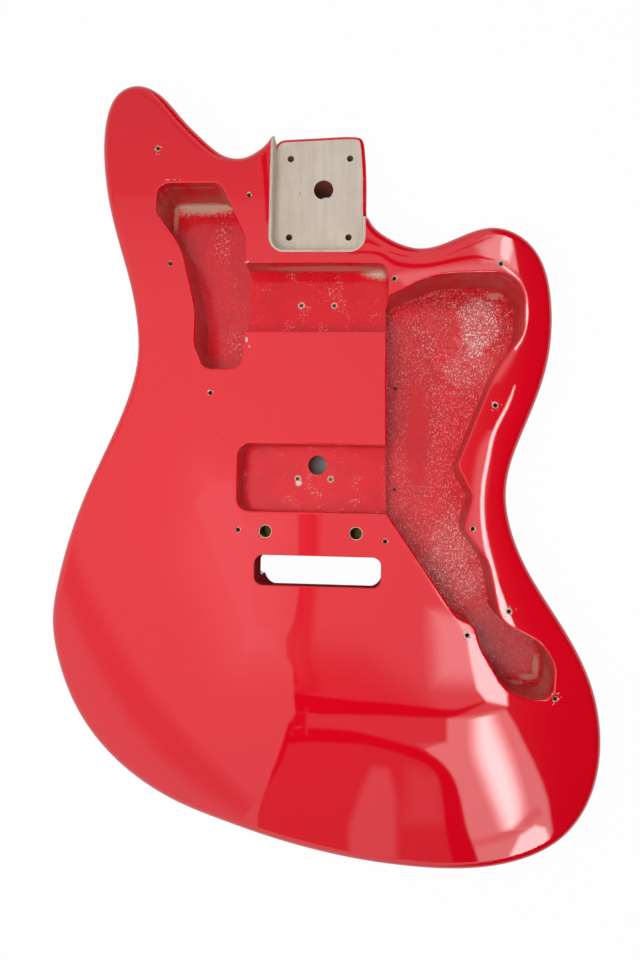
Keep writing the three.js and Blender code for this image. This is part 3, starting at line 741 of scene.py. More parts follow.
class Chips:
    """Irregular patches where the lacquer has flaked off round holes and along mouths."""

    # Flakes away from the guard pilots, in millimetres
    SPOTS = (
        (-100.6, 179.4, 3.4, 1.0), (-96.2, 179.6, 2.2, 0.9), (-92.6, 179.3, 1.8, 0.8),
        (-48.6, 127.4, 3.6, 1.6, 0.3), (-48.0, 78.8, 2.2, 4.0), (-46.2, 74.6, 1.4, 2.2),
        (-37.4, -24.9, 2.4, 1.4, 0.6), (32.8, 12.6, 2.4, 1.6), (32.4, -27.0, 2.6, 1.2),
        (-61.9, 20.4, 0.7, 0.7), (6.6, 42.5, 0.6, 0.6), (21.8, 155.6, 2.4, 5.0, -0.2),
        (-14.0, 212.2, 2.6, 0.9), (-9.5, 212.4, 3.2, 0.8), (-4.0, 212.6, 2.0, 1.0),
        (1.0, 212.8, 3.6, 0.8), (6.5, 212.9, 2.2, 0.9), (11.0, 213.0, 3.0, 0.7),
        (22.0, 172.0, 0.9, 2.4), (22.2, 186.0, 0.8, 1.6), (21.9, 160.5, 1.2, 2.2),
    )

    # Rings round the guard pilots, and the specks round the wide ones: how far out they lie as a share of the
    # ring, their width in millimetres and their length as a share of it
    PILOT_CHIP = 4.1
    WIDE_PILOT_CHIP = 4.9
    WIDE_PILOTS = (0, 7, 8, 10, 11, 12)
    SPECKS = 7
    SPECK_OUT_SHARES = (0.55, 0.95)
    SPECK_WIDTHS = (0.5, 1.1)
    SPECK_LENGTH_SHARE = 1.5

    # Raggedness: the reach of each corner as a share, and the corners of small and large flakes
    REACH_SHARES = (0.62, 1.06)
    LARGE_FROM = 2.0
    SMALL_CORNERS = 9
    LARGE_CORNERS = 15

    def __init__(self) -> None:
        """Draws each patch's ragged outline."""
        random = np.random.default_rng(SEED)
        self.loops: list[np.ndarray] = []
        for index, (across, along) in enumerate(GUARD_PILOT_SHARES):
            x, y = across * BODY.width, along * BODY.length
            wide = index in self.WIDE_PILOTS
            size = self.WIDE_PILOT_CHIP if wide else self.PILOT_CHIP
            self.loops.append(self._ragged(random, ChipSpot(x, y, size, size)))
            for _ in range(self.SPECKS if wide else 0):
                turn = random.uniform(0, 2 * math.pi)
                far = random.uniform(*self.SPECK_OUT_SHARES) * size
                width = random.uniform(*self.SPECK_WIDTHS)
                place = (x + far * math.cos(turn), y + far * math.sin(turn))
                spot = ChipSpot(*place, width, width * self.SPECK_LENGTH_SHARE, turn)
                self.loops.append(self._ragged(random, spot))
        self.loops.extend(self._ragged(random, ChipSpot(*spot)) for spot in self.SPOTS)

    @classmethod
    def _ragged(cls, random: np.random.Generator, spot: ChipSpot) -> np.ndarray:
        """One ragged closed outline round a spot."""
        large = max(spot.across, spot.along) > cls.LARGE_FROM
        count = cls.LARGE_CORNERS if large else cls.SMALL_CORNERS
        turns = np.arange(count) * 2 * math.pi / count
        reach = random.uniform(*cls.REACH_SHARES, count)
        flat = np.stack([np.cos(turns) * reach * spot.across, np.sin(turns) * reach * spot.along], 1) / 2
        return flat @ turning(spot.turn).T + (spot.x, spot.y)


class Plan:
    """The body's plan cut into triangles along every edge, with what each triangle belongs to."""

    def __init__(self, outline: Outline, routing: Routing, chips: Chips) -> None:
        """Cuts the plan up and sorts its triangles."""
        self.outline = outline
        self.routing = routing
        self.chips = chips
        self.bare_loop = routing.pocket.grown(POCKET.bare_margin)
        self.worn_loop = self._worn_tip()
        self.xy, self.triangles = self._triangulate()
        self.centres = self.xy[self.triangles].mean(1)
        self.neighbours = self._pair_edges()
        self._sort()

    def _worn_tip(self) -> np.ndarray:
        """What is worn off the thin end of the pocket's bass wall."""
        left = BODY.centreline_x - POCKET.width / 2
        near_left = (np.abs(self.outline.loop[:, 0] - left) < EDGE_STEP) & (self.outline.loop[:, 1] > 0)
        end = self.outline.loop[near_left, 1].max()
        low = end - POCKET.tip_worn_off
        return rectangle(left - POCKET.tip_reach, low, left + MERGE, end + POCKET.tip_reach,
                         (0, POCKET.mouth_radius / 2, 0, 0))

    def _constraint_loops(self) -> list[np.ndarray]:
        """Every closed line that the triangles follow."""
        outline = self.outline
        loops = [outline.inset(outline.radius * share) for share in quarter_insets(EDGE_ROUNDING_STEPS)]
        loops.append(outline.inset(BODY.side_film))
        for cut in self.routing.cuts:
            loops.append(cut.loop)
            if cut.mouth_reach and cut.side is Side.FRONT:
                for share in quarter_insets(MOUTH_ROUNDING_STEPS)[1:]:
                    loops.append(cut.grown(cut.mouth_reach * share))
        for share in quarter_insets(MOUTH_ROUNDING_STEPS)[1:]:
            loops.append(self.routing.pocket.grown(POCKET.mouth_radius * share))
        loops.append(self.bare_loop)
        loops.append(self.worn_loop)
        loops.extend(self.chips.loops)
        return loops

    def _joint_lines(self) -> list[np.ndarray]:
        """The two glue joints as open lines."""
        reach = BODY.length / 2 + FACE_STEP
        along = np.arange(-reach, reach, FACE_STEP)
        offsets = (-BODY.bass_joint_offset, BODY.treble_joint_offset)
        return [np.stack([np.full(len(along), BODY.centreline_x + offset), along], 1) for offset in offsets]

    def _face_points(self, taken: np.ndarray) -> np.ndarray:
        """Points over the open faces, none close to a line."""
        tree = KDTree(len(taken))
        for index, (x, y) in enumerate(taken):
            tree.insert((x, y, 0), index)
        tree.balance()
        points = []
        rows = np.arange(-BODY.length / 2, BODY.length / 2, FACE_STEP * ROW_SHARE)
        for number, y in enumerate(rows):
            shift = FACE_STEP / 2 * (number % 2)
            for x in np.arange(-BODY.width / 2 + shift, BODY.width / 2, FACE_STEP):
                if tree.find((x, y, 0))[2] > FACE_GAP:
                    points.append((x, y))
        return np.array(points)

    def _triangulate(self) -> tuple[np.ndarray, np.ndarray]:
        """Triangulates the plan along all its lines."""
        points: list[np.ndarray] = []
        edges: list[tuple[int, int]] = []
        total = 0
        for loop in self._constraint_loops():
            count = len(loop)
            points.append(loop)
            edges.extend((total + i, total + (i + 1) % count) for i in range(count))
            total += count
        for line in self._joint_lines():
            points.append(line)
            edges.extend((total + i, total + i + 1) for i in range(len(line) - 1))
            total += len(line)
        taken = np.concatenate(points)
        everything = np.concatenate([taken, self._face_points(taken)])
        result = delaunay_2d_cdt([Vector(p) for p in everything], edges, [], 0, MERGE / 2, False)
        xy = np.array([tuple(v) for v in result[0]])
        triangles = np.array([face for face in result[2] if len(face) == 3])
        a, b, c = (xy[triangles[:, i]] for i in range(3))
        area = cross2(b - a, c - a)
        triangles[area < 0] = triangles[area < 0][:, ::-1]
        return xy, triangles[np.abs(area) > MERGE * MERGE]

    def _pair_edges(self) -> np.ndarray:
        """For each side of each triangle, the number of the triangle across it, or -1."""
        count = len(self.triangles)
        start = self.triangles
        end = np.roll(self.triangles, -1, axis=1)
        low = np.minimum(start, end).ravel().astype(np.int64)
        high = np.maximum(start, end).ravel().astype(np.int64)
        keys = low * len(self.xy) + high
        order = np.argsort(keys, kind="stable")
        same = keys[order][1:] == keys[order][:-1]
        first, second = order[:-1][same], order[1:][same]
        neighbours = np.full(count * 3, -1)
        neighbours[first] = second
        neighbours[second] = first
        return neighbours.reshape(count, 3)

    def _sort(self) -> None:
        """Marks what each triangle belongs to."""
        centres = self.centres
        self.in_body = inside(centres, self.outline.loop) & ~inside(centres, self.worn_loop)
        self.in_band = self.in_body & ~inside(centres, self.outline.inset(BODY.side_film))
        self.past_rounding = inside(centres, self.outline.inset(self.outline.radius))
        count = len(centres)
        self.front_level = np.full(count, np.inf)
        self.front_cut = np.full(count, -1)
        self.back_level = np.full(count, -np.inf)
        self.back_cut = np.full(count, -1)
        for index, cut in enumerate(self.routing.cuts):
            within = inside(centres, cut.loop)
            if cut.side is Side.FRONT:
                deeper = within & (cut.level < self.front_level)
                self.front_level[deeper] = cut.level
                self.front_cut[deeper] = index
            else:
                deeper = within & (cut.level > self.back_level)
                self.back_level[deeper] = cut.level
                self.back_cut[deeper] = index
        pocket = self.routing.cuts.index(self.routing.pocket)
        self.in_pocket = self.front_cut == pocket
        self.ledge = self.in_pocket & self.in_body & ~self.past_rounding
        open_front = self.front_cut < 0
        self.bare_margin = open_front & inside(centres, self.bare_loop)
        self.chipped = np.zeros(count, bool)
        for loop in self.chips.loops:
            self.chipped |= (open_front | self.ledge) & inside(centres, loop)


class Heights:
    """Heights and directions of every surface at every point of the plan."""

    def __init__(self, plan: Plan) -> None:
        """Works them out from the distances to the edges and mouths."""
        outline, xy = plan.outline, plan.xy
        distance, inward, along = outline.nearest(xy)
        radius = outline.at(along, outline.radius)
        sine = np.clip((radius - np.maximum(distance, 0)) / radius, 0, 1)
        cosine = np.sqrt(1 - sine ** 2)
        self.edge_drop = radius * (1 - cosine)
        edge = (sine, cosine, inward)
        front, front_slope = SoftField(outline, BODY, Side.FRONT)(xy)
        back, back_slope = SoftField(outline, BODY, Side.BACK)(xy)
        soft = [cut for cut in plan.routing.cuts if cut.mouth_reach and cut.side is Side.FRONT]
        mouth_drop, mouth = self._rounding(xy, [(cut, cut.mouth_reach) for cut in soft], BODY.film)
        pocket_drop, pocket = self._rounding(
            xy, [(plan.routing.pocket, POCKET.mouth_radius)], POCKET.mouth_radius)
        uncut = BODY.thickness - front - self.edge_drop
        self.top = uncut - mouth_drop
        self.wood_top = uncut - BODY.film
        self.bare_top = uncut - BODY.film - pocket_drop
        self.bottom = back + self.edge_drop
        self.wood_bottom = self.bottom + BODY.film
        self.top_normal = self._upward(front_slope, [edge, mouth])
        self.bare_normal = self._upward(front_slope, [edge, pocket])
        self.floor_normal = self._upward(np.zeros_like(front_slope), [edge])
        self.bottom_normal = self._upward(back_slope, [edge]) * (1, 1, -1)

    @staticmethod
    def _rounding(
        xy: np.ndarray, mouths: Iterable[tuple[Cut, float]], depth: float,
    ) -> tuple[np.ndarray, tuple]:
        """A rounding along the mouths of some cuts, as deep everywhere but wider at some.

        Args:
            xy: Places in the plan.
            mouths: The cuts, and how far back from each the rounding reaches.
            depth: How far the rounding drops at the mouth.

        Returns:
            The drop at each place, and its slope's sine, cosine and direction.
        """
        share = np.zeros(len(xy))
        steep = np.ones(len(xy))
        direction = np.zeros((len(xy), 2))
        direction[:, 0] = 1
        for cut, reach in mouths:
            low, high = cut.loop.min(0) - 2 * reach, cut.loop.max(0) + 2 * reach
            near = np.flatnonzero(np.all((xy > low) & (xy < high), axis=1))
            distance, away, _ = cut.nearest(xy[near])
            distance = np.where(distance < MERGE, 0, distance)
            closeness = np.clip((reach - distance) / reach, 0, 1)
            closer = closeness > share[near]
            share[near[closer]] = closeness[closer]
            steep[near[closer]] = depth / reach
            direction[near[closer]] = away[closer]
        level = np.sqrt(1 - share ** 2)
        length = np.hypot(share * steep, level)
        return depth * (1 - level), (share * steep / length, level / length, direction)

    @staticmethod
    def _upward(slope: np.ndarray, roundings: Sequence[tuple]) -> np.ndarray:
        """Unit directions square to a surface that soft slopes and roundings lower."""
        upright = np.ones(len(slope))
        for _, cosine, _ in roundings:
            upright = upright * cosine
        flat = slope * upright[:, None]
        for index, (sine, _, direction) in enumerate(roundings):
            others = np.ones(len(slope))
            for other, (_, cosine, _) in enumerate(roundings):
                if other != index:
                    others = others * cosine
            flat = flat - direction * (sine * others)[:, None]
        normals = np.column_stack([flat, upright])
        length = np.linalg.norm(normals, axis=1)
        normals[length < MERGE] = (0, 0, 1)
        return normals / np.maximum(length, MERGE)[:, None]


@dataclass
class Layer:
    """Upright columns over some of the plan's triangles, from a lower surface to an upper one."""

    kept: np.ndarray
    low: np.ndarray
    high: np.ndarray
    low_normals: np.ndarray
    high_normals: np.ndarray
    low_finish: np.ndarray
    high_finish: np.ndarray


@dataclass(frozen=True)
class WallPart:
    """A stretch of wall: its plan points, the heights it spans at both, and its finish."""

    a: int
    b: int
    spans: tuple[float, float, float, float]
    finish: int


def add_object(name: str, data: bpy.types.ID) -> bpy.types.Object:
    """Makes an object and links it to the scene."""
    thing = bpy.data.objects.new(name, data)
    bpy.context.scene.collection.objects.link(thing)
    return thing


class ColumnMesh:
    """A closed mesh made from layers of columns: tops, bottoms and the walls between heights that differ."""

    # Corners are told apart by one number each, made from the plan point and the height in steps
    LEVELS_A_MM = 1000
    LEVEL_SHIFT = 1_000_000
    LEVEL_SPAN = 10_000_000

    # The least distance between two heights that meet a wall's end
    LEAST_STEP = 10 * MERGE

    def __init__(self, plan: Plan, layers: Sequence[Layer], wall_finish: np.ndarray) -> None:
        """Gathers the faces of the piece.

        Args:
            plan: The plan that the columns stand on.
            layers: The piece's columns, from the lowest layer up.
            wall_finish: The finish of a wall that faces into each triangle.
        """
        self.plan = plan
        self.layers = layers
        self.wall_finish = wall_finish
        for layer in layers:
            layer.kept = layer.kept & (layer.high - layer.low > MERGE).any(1)
        self.faces: list[tuple[np.ndarray, ...]] = []
        for layer in layers:
            self._add_faces(layer)
        self._add_walls()

    def _add_faces(self, layer: Layer) -> None:
        """Adds the tops and bottoms of one layer."""
        kept = layer.kept
        triangles = self.plan.triangles[kept]
        self.faces.append((triangles, layer.high[kept], layer.high_normals[kept], layer.high_finish[kept]))
        self.faces.append((
            triangles[:, ::-1], layer.low[kept][:, ::-1], layer.low_normals[kept][:, ::-1],
            layer.low_finish[kept],
        ))

    def _wall_parts(self) -> list[WallPart]:
        """Finds each stretch of a column's side that no column of the next triangle covers."""
        parts: list[WallPart] = []
        for layer in self.layers:
            numbers = np.flatnonzero(layer.kept)
            for side in range(3):
                parts.extend(self._side_parts(layer, numbers, side))
        return parts

    def _side_parts(self, layer: Layer, numbers: np.ndarray, side: int) -> list[WallPart]:
        """The uncovered stretches over one side of each of some triangles.

        Args:
            layer: The layer that the columns belong to.
            numbers: The triangles.
            side: Which side of each triangle.

        Returns:
            The stretches of wall.
        """
        ahead = (side + 1) % 3
        triangles = self.plan.triangles
        across = self.plan.neighbours[numbers, side]
        other, other_side = across // 3, across % 3
        other_ahead = (other_side + 1) % 3
        cursor_a, cursor_b = layer.low[numbers, side].copy(), layer.low[numbers, ahead].copy()
        high_a, high_b = layer.high[numbers, side], layer.high[numbers, ahead]
        finish = np.where(across >= 0, self.wall_finish[other], Finish.RAW.value)
        found: list[WallPart] = []

        def collect(to_a: np.ndarray, to_b: np.ndarray, use: np.ndarray) -> None:
            """Keeps the stretches from the cursor up to some heights."""
            tall = use & ((to_a - cursor_a > MERGE) | (to_b - cursor_b > MERGE))
            for i in np.flatnonzero(tall):
                spans = (cursor_a[i], max(cursor_a[i], to_a[i]), cursor_b[i], max(cursor_b[i], to_b[i]))
                number = numbers[i]
                found.append(WallPart(triangles[number, side], triangles[number, ahead], spans, finish[i]))

        for neighbour in self.layers:
            there = (across >= 0) & neighbour.kept[other]
            collect(np.minimum(high_a, neighbour.low[other, other_ahead]),
                    np.minimum(high_b, neighbour.low[other, other_side]), there)
            cursor_a = np.where(there, np.maximum(cursor_a, neighbour.high[other, other_ahead]), cursor_a)
            cursor_b = np.where(there, np.maximum(cursor_b, neighbour.high[other, other_side]), cursor_b)
        collect(high_a, high_b, np.ones(len(numbers), bool))
        return found

    def _outward(self, part: WallPart) -> np.ndarray:
        """The flat direction that a wall faces."""
        step = self.plan.xy[part.b] - self.plan.xy[part.a]
        return np.array([step[1], -step[0]]) / max(np.linalg.norm(step), MERGE)

    def _add_walls(self) -> None:
        """Adds the walls, with every height that meets them at their ends."""
        parts = self._wall_parts()
        if not parts:
            return
        levels_at, directions = self._wall_ends(parts)
        walls: list[tuple] = []
        for part in parts:
            low_a, high_a, low_b, high_b = part.spans
            outward = self._outward(part)
            at_a = self._shared_normal(directions[part.a], outward)
            at_b = self._shared_normal(directions[part.b], outward)
            left = self._chain(levels_at[part.a], low_a, high_a)
            right = self._chain(levels_at[part.b], low_b, high_b)
            i = j = 0
            while i + 1 < len(left) or j + 1 < len(right):
                foot = (left[i], right[j])
                if j + 1 >= len(right) or (i + 1 < len(left) and left[i + 1] <= right[j + 1]):
                    i += 1
                    corners, levels, normals = (part.a, part.b, part.a), (*foot, left[i]), (at_a, at_b, at_a)
                else:
                    j += 1
                    corners, levels, normals = (part.a, part.b, part.b), (*foot, right[j]), (at_a, at_b, at_b)
                walls.append((corners, levels, normals, part.finish))
        self.faces.append(tuple(np.array(column) for column in zip(*walls)))

    def _wall_ends(self, parts: Sequence[WallPart]) -> tuple[dict[int, set], dict[int, np.ndarray]]:
        """Gathers what meets the ends of the walls.

        Args:
            parts: The stretches of wall.

        Returns:
            The heights at each plan point, and the directions that the walls there face.
        """
        levels_at: dict[int, set] = {}
        directions: dict[int, list] = {}
        for part in parts:
            outward = self._outward(part)
            for end, levels in ((part.a, part.spans[:2]), (part.b, part.spans[2:])):
                levels_at.setdefault(end, set()).update(levels)
                directions.setdefault(end, []).append(outward)
        wanted = np.array(list(levels_at))
        for layer in self.layers:
            corner = self.plan.triangles[layer.kept].ravel()
            use = np.isin(corner, wanted)
            for heights in (layer.low, layer.high):
                for index, level in zip(corner[use], heights[layer.kept].ravel()[use]):
                    levels_at[index].add(level)
        return levels_at, {index: np.stack(found) for index, found in directions.items()}

    @staticmethod
    def _shared_normal(directions: np.ndarray, outward: np.ndarray) -> tuple[float, float, float]:
        """The mean direction of the walls at a point that face much the same way as one of them."""
        total = directions[directions @ outward > SMOOTH_COSINE].sum(0)
        total = total / max(np.linalg.norm(total), MERGE)
        return float(total[0]), float(total[1]), 0.0

    @classmethod
    def _chain(cls, found: set, start: float, end: float) -> list[float]:
        """The heights up one end of a wall, with those of what meets it there."""
        low, high = start + cls.LEAST_STEP, end - cls.LEAST_STEP
        chain = [start]
        for level in sorted(level for level in found if low < level < high):
            if level - chain[-1] > cls.LEAST_STEP:
                chain.append(level)
        if end - start > MERGE:
            chain.append(end)
        return chain

    def build(self, name: str, materials: Sequence[bpy.types.Material]) -> bpy.types.Object:
        """Makes the Blender object.

        Args:
            name: The piece's name.
            materials: Its materials, by slot.

        Returns:
            The new object, linked to the scene.
        """
        corners, levels, normals, finishes = (np.concatenate(column) for column in zip(*self.faces))
        steps = np.round(levels * self.LEVELS_A_MM).astype(np.int64)
        keys = corners.astype(np.int64) * self.LEVEL_SPAN + steps + self.LEVEL_SHIFT
        unique, index = np.unique(keys.ravel(), return_inverse=True)
        index = index.reshape(-1, 3)
        whole = (index != np.roll(index, 1, axis=1)).all(1)
        index, finishes, normals = index[whole], finishes[whole], normals[whole].reshape(-1, 3)
        flat = self.plan.xy[unique // self.LEVEL_SPAN]
        height = (unique % self.LEVEL_SPAN - self.LEVEL_SHIFT) / self.LEVELS_A_MM
        mesh = bpy.data.meshes.new(name)
        mesh.from_pydata((np.column_stack([flat, height]) * MM).tolist(), [], index.tolist())
        mesh.polygons.foreach_set("material_index", finishes.astype(np.int32))
        mesh.polygons.foreach_set("use_smooth", np.ones(len(mesh.polygons), bool))
        for material in materials:
            mesh.materials.append(material)
        mesh.normals_split_custom_set(normals.tolist())
        mesh.update()
        return add_object(name, mesh)


class BodyPieces:
    """The lacquer's two films and the three boards, built as layers of columns over one plan."""

    def __init__(self, plan: Plan, heights: Heights) -> None:
        """Keeps the plan, and spreads the heights over its triangles' corners."""
        self.plan = plan
        tri = plan.triangles
        self.level = {name: getattr(heights, name)[tri] for name in (
            "top", "wood_top", "bare_top", "bottom", "wood_bottom", "edge_drop")}
        self.normal = {name: getattr(heights, name)[tri] for name in (
            "top_normal", "bare_normal", "floor_normal", "bottom_normal")}
        cuts = plan.routing.cuts
        values = np.array([cut.finish.value for cut in cuts] + [Finish.RAW.value])
        self.front_finish = values[plan.front_cut]
        self.back_finish = values[plan.back_cut]
        self.wall_finish = np.where(plan.front_cut >= 0, self.front_finish, self.back_finish)
        self.core = plan.in_body & ~plan.in_band
        self.through = plan.front_level < 0
        self.open_back = (plan.back_cut >= 0) | self.through
        self.plain = np.zeros(len(tri), int)
        curved = (self.level["bottom"].max(1) - self.level["edge_drop"].max(1)) > MERGE
        self.lower_skin = ~plan.past_rounding | curved
        self.pocket_floor = POCKET_FLOOR - self.level["edge_drop"]

    def _lower_film(self, kept: np.ndarray) -> Layer:
        """The film under some of the body's triangles."""
        return Layer(
            self.core & kept & ~self.open_back, self.level["bottom"], self.level["wood_bottom"],
            self.normal["bottom_normal"], -self.normal["bottom_normal"], self.plain, self.plain,
        )

    def lacquer_front(self, materials: Sequence[bpy.types.Material]) -> bpy.types.Object:
        """The film over the front, the edges and the contours."""
        plan, level, floor = self.plan, self.level, self.pocket_floor
        below = self._lower_film(self.lower_skin)
        on_floor = (plan.ledge | (plan.in_pocket & plan.in_band))[:, None]
        bare = (plan.bare_margin & plan.in_band)[:, None]
        high = np.where(on_floor, floor, np.where(bare, level["bare_top"], level["top"]))
        low = np.where(plan.ledge[:, None], floor - BODY.film, level["wood_top"])
        low = np.where(plan.in_band[:, None], level["bottom"], low)
        skin = (plan.front_cut < 0) & ~plan.bare_margin & ~plan.chipped
        kept = plan.in_band | (self.core & (skin | (plan.ledge & ~plan.chipped)))
        normals = np.where(on_floor[..., None], self.normal["floor_normal"], self.normal["top_normal"])
        under = np.where(plan.in_band[:, None, None], self.normal["bottom_normal"], -normals)
        above = Layer(kept, low, high, under, normals, self.plain, self.plain)
        return ColumnMesh(plan, [below, above], self.plain).build("front_and_edge_lacquer_film", materials)

    def lacquer_back(self, materials: Sequence[bpy.types.Material]) -> bpy.types.Object:
        """The film on the flat back."""
        layer = self._lower_film(~self.lower_skin)
        return ColumnMesh(self.plan, [layer], self.plain).build("back_lacquer_film", materials)

    def board(
        self, name: str, left: float, right: float, materials: Sequence[bpy.types.Material],
    ) -> bpy.types.Object:
        """One board of the blank.

        Args:
            name: The piece's name.
            left: The x of its bass side, in millimetres.
            right: The x of its treble side.
            materials: The boards' materials, in the order of the finishes.

        Returns:
            The board.
        """
        plan, level = self.plan, self.level
        x = plan.centres[:, 0]
        kept = self.core & (x > left) & (x < right) & ~self.through
        cut_floor = np.where(np.isfinite(plan.front_level), plan.front_level, 0)[:, None]
        high = np.where((plan.front_cut >= 0)[:, None], cut_floor, level["wood_top"])
        high = np.where(plan.bare_margin[:, None], level["bare_top"], high)
        high = np.where(plan.ledge[:, None], self.pocket_floor - BODY.film, high)
        cut_back = np.where(np.isfinite(plan.back_level), plan.back_level, 0)[:, None]
        low = np.where((plan.back_cut >= 0)[:, None], cut_back, level["wood_bottom"])
        low = np.minimum(low, high)
        upward = np.zeros_like(self.normal["top_normal"])
        upward[..., 2] = 1
        open_front = (plan.front_cut < 0)[:, None, None]
        normals = np.where(open_front, self.normal["top_normal"], upward)
        normals = np.where(plan.bare_margin[:, None, None], self.normal["bare_normal"], normals)
        normals = np.where(plan.ledge[:, None, None], self.normal["floor_normal"], normals)
        under = np.where((plan.back_cut < 0)[:, None, None], self.normal["bottom_normal"], -upward)
        finish = np.where(plan.bare_margin, Finish.BARE.value, self.front_finish)
        finish = np.where(plan.chipped, Finish.CHIP.value, finish)
        layer = Layer(kept, low, high, under, normals, self.back_finish, finish)
        return ColumnMesh(plan, [layer], self.wall_finish).build(name, materials)


Number = float | int
Steps = tuple[float, float]
Colour = tuple[float, float, float]
WHITE: Colour = (1.0, 1.0, 1.0)
REFRACTION = 1.5


def maths(operation: str, swapped: bool = False) -> Callable[["Value", "Value | Number"], "Value"]:
    """Makes an operator of Value.

    Args:
        operation: What the maths node does.
        swapped: Whether the other value comes first.

    Returns:
        The method that joins a value and another.
    """
    def join(this: "Value", other: "Value | Number") -> "Value":
        """Joins two values by a maths node."""
        first, second = (other, this) if swapped else (this, other)
        return this.graph.node("ShaderNodeMath", {"operation": operation}, {0: first, 1: second})

    return join


class Value:
    """A shader socket that takes part in sums."""

    __add__ = maths("ADD")
    __radd__ = maths("ADD", swapped=True)
    __sub__ = maths("SUBTRACT")
    __rsub__ = maths("SUBTRACT", swapped=True)
    __mul__ = maths("MULTIPLY")
    __rmul__ = maths("MULTIPLY", swapped=True)
    __truediv__ = maths("DIVIDE")

    def __init__(self, graph: "Graph", socket: bpy.types.NodeSocket) -> None:
        """Keeps the socket and its graph."""
        self.graph = graph
        self.socket = socket

    def ramp(self, low: Number, high: Number) -> "Value":
        """A soft step from 0 to 1 between two values."""
        return self.graph.node(
            "ShaderNodeMapRange", {"interpolation_type": "SMOOTHSTEP"},
            {"Value": self, "From Min": low, "From Max": high},
        )


@dataclass(frozen=True)
class Noise:
    """Soft noise: the size of its lumps, its detail, its roughness, and its squeeze along the axes.

    The size is in metres, or a share of a size that a look gives.
    """

    size: float
    detail: float = 2.0
    roughness: float = 0.5
    squeeze: Colour = WHITE


class Graph:
    """A node tree, filled by calls."""

    # The colour sockets of a Mix node
    MIX_INPUTS = (6, 7)
    MIX_OUTPUT = 2

    def __init__(self, tree: bpy.types.NodeTree) -> None:
        """Empties the tree."""
        self.tree = tree
        tree.nodes.clear()

    def node(self, kind: str, settings: dict | None = None, inputs: dict | None = None,
             output: int | str = 0) -> Value:
        """Adds a node.

        Args:
            kind: The node's type.
            settings: Its own settings, set before the inputs.
            inputs: Values or links, by the input's name or number.
            output: The output to hand back.

        Returns:
            That output.
        """
        node = self.tree.nodes.new(kind)
        for name, setting in (settings or {}).items():
            setattr(node, name, setting)
        for key, given in (inputs or {}).items():
            socket = node.inputs[key]
            if isinstance(given, Value):
                self.tree.links.new(given.socket, socket)
            elif isinstance(given, tuple) and socket.type == "RGBA":
                socket.default_value = (*given, 1.0)
            else:
                socket.default_value = given
        return Value(self, node.outputs[output])

    def mix(self, factor: Value | Number, first: Value | Colour, second: Value | Colour) -> Value:
        """Mixes two colours."""
        settings = {"data_type": "RGBA", "blend_type": "MIX", "clamp_factor": True}
        colours = dict(zip(self.MIX_INPUTS, (first, second)))
        return self.node("ShaderNodeMix", settings, {0: factor, **colours}, self.MIX_OUTPUT)

    def blend(self, factor: Value, first: Value, second: Value) -> Value:
        """Mixes two shaders."""
        return self.node("ShaderNodeMixShader", None, {0: factor, 1: first, 2: second})

    def vector(self, operation: str, first: Value, second: Colour, output: int | str = 0) -> Value:
        """Joins two vectors."""
        return self.node("ShaderNodeVectorMath", {"operation": operation}, {0: first, 1: second}, output)

    def ray(self, kind: str) -> Value:
        """One where the ray is of a kind."""
        return self.node("ShaderNodeLightPath", output=f"Is {kind} Ray")

    def place(self, squeeze: Colour = WHITE) -> Value:
        """The place on the object in metres, squeezed by shares."""
        return self.vector("MULTIPLY", self.node("ShaderNodeTexCoord", output="Object"), squeeze)

    def noise(self, noise: Noise, size: float = 1.0) -> Value:
        """Soft noise over the object, at a multiple of its size."""
        return self.node("ShaderNodeTexNoise", None, {
            "Vector": self.place(noise.squeeze), "Scale": 1 / (noise.size * size), "Detail": noise.detail,
            "Roughness": noise.roughness,
        })

    def bump(self, height: Value, depth: float) -> Value:
        """The direction that a relief of a depth in metres gives the surface."""
        return self.node("ShaderNodeBump", None, {"Height": height, "Distance": depth}, "Normal")

    def surface(self, shader: Value, kind: str = "ShaderNodeOutputMaterial") -> None:
        """Makes a shader the tree's result."""
        output = self.tree.nodes.new(kind)
        self.tree.links.new(shader.socket, output.inputs["Surface"])

    def finish(self, inputs: dict[str, Value | Number | Colour]) -> None:
        """Makes a surface with these properties the tree's result."""
        self.surface(self.node("ShaderNodeBsdfPrincipled", None, inputs))


def new_material(name: str) -> tuple[bpy.types.Material, Graph]:
    """Makes an empty material with its graph."""
    material = bpy.data.materials.new(name)
    material.use_nodes = True
    return material, Graph(material.node_tree)


@dataclass(frozen=True)
class LacquerLook:
    """The gloss lacquer: its colour, and the slight waviness of its polish."""

    colour: Colour = (0.76, 0.001, 0.013)
    roughness: float = 0.02
    wave: Noise = Noise(0.04, 1.0)
    wave_depth: float = 0.00003

    def make(self) -> bpy.types.Material:
        """Builds the material."""
        material, graph = new_material("red_gloss_lacquer")
        graph.finish({
            "Base Color": self.colour, "Roughness": self.roughness, "IOR": REFRACTION,
            "Normal": graph.bump(graph.noise(self.wave), self.wave_depth),
        })
        return material


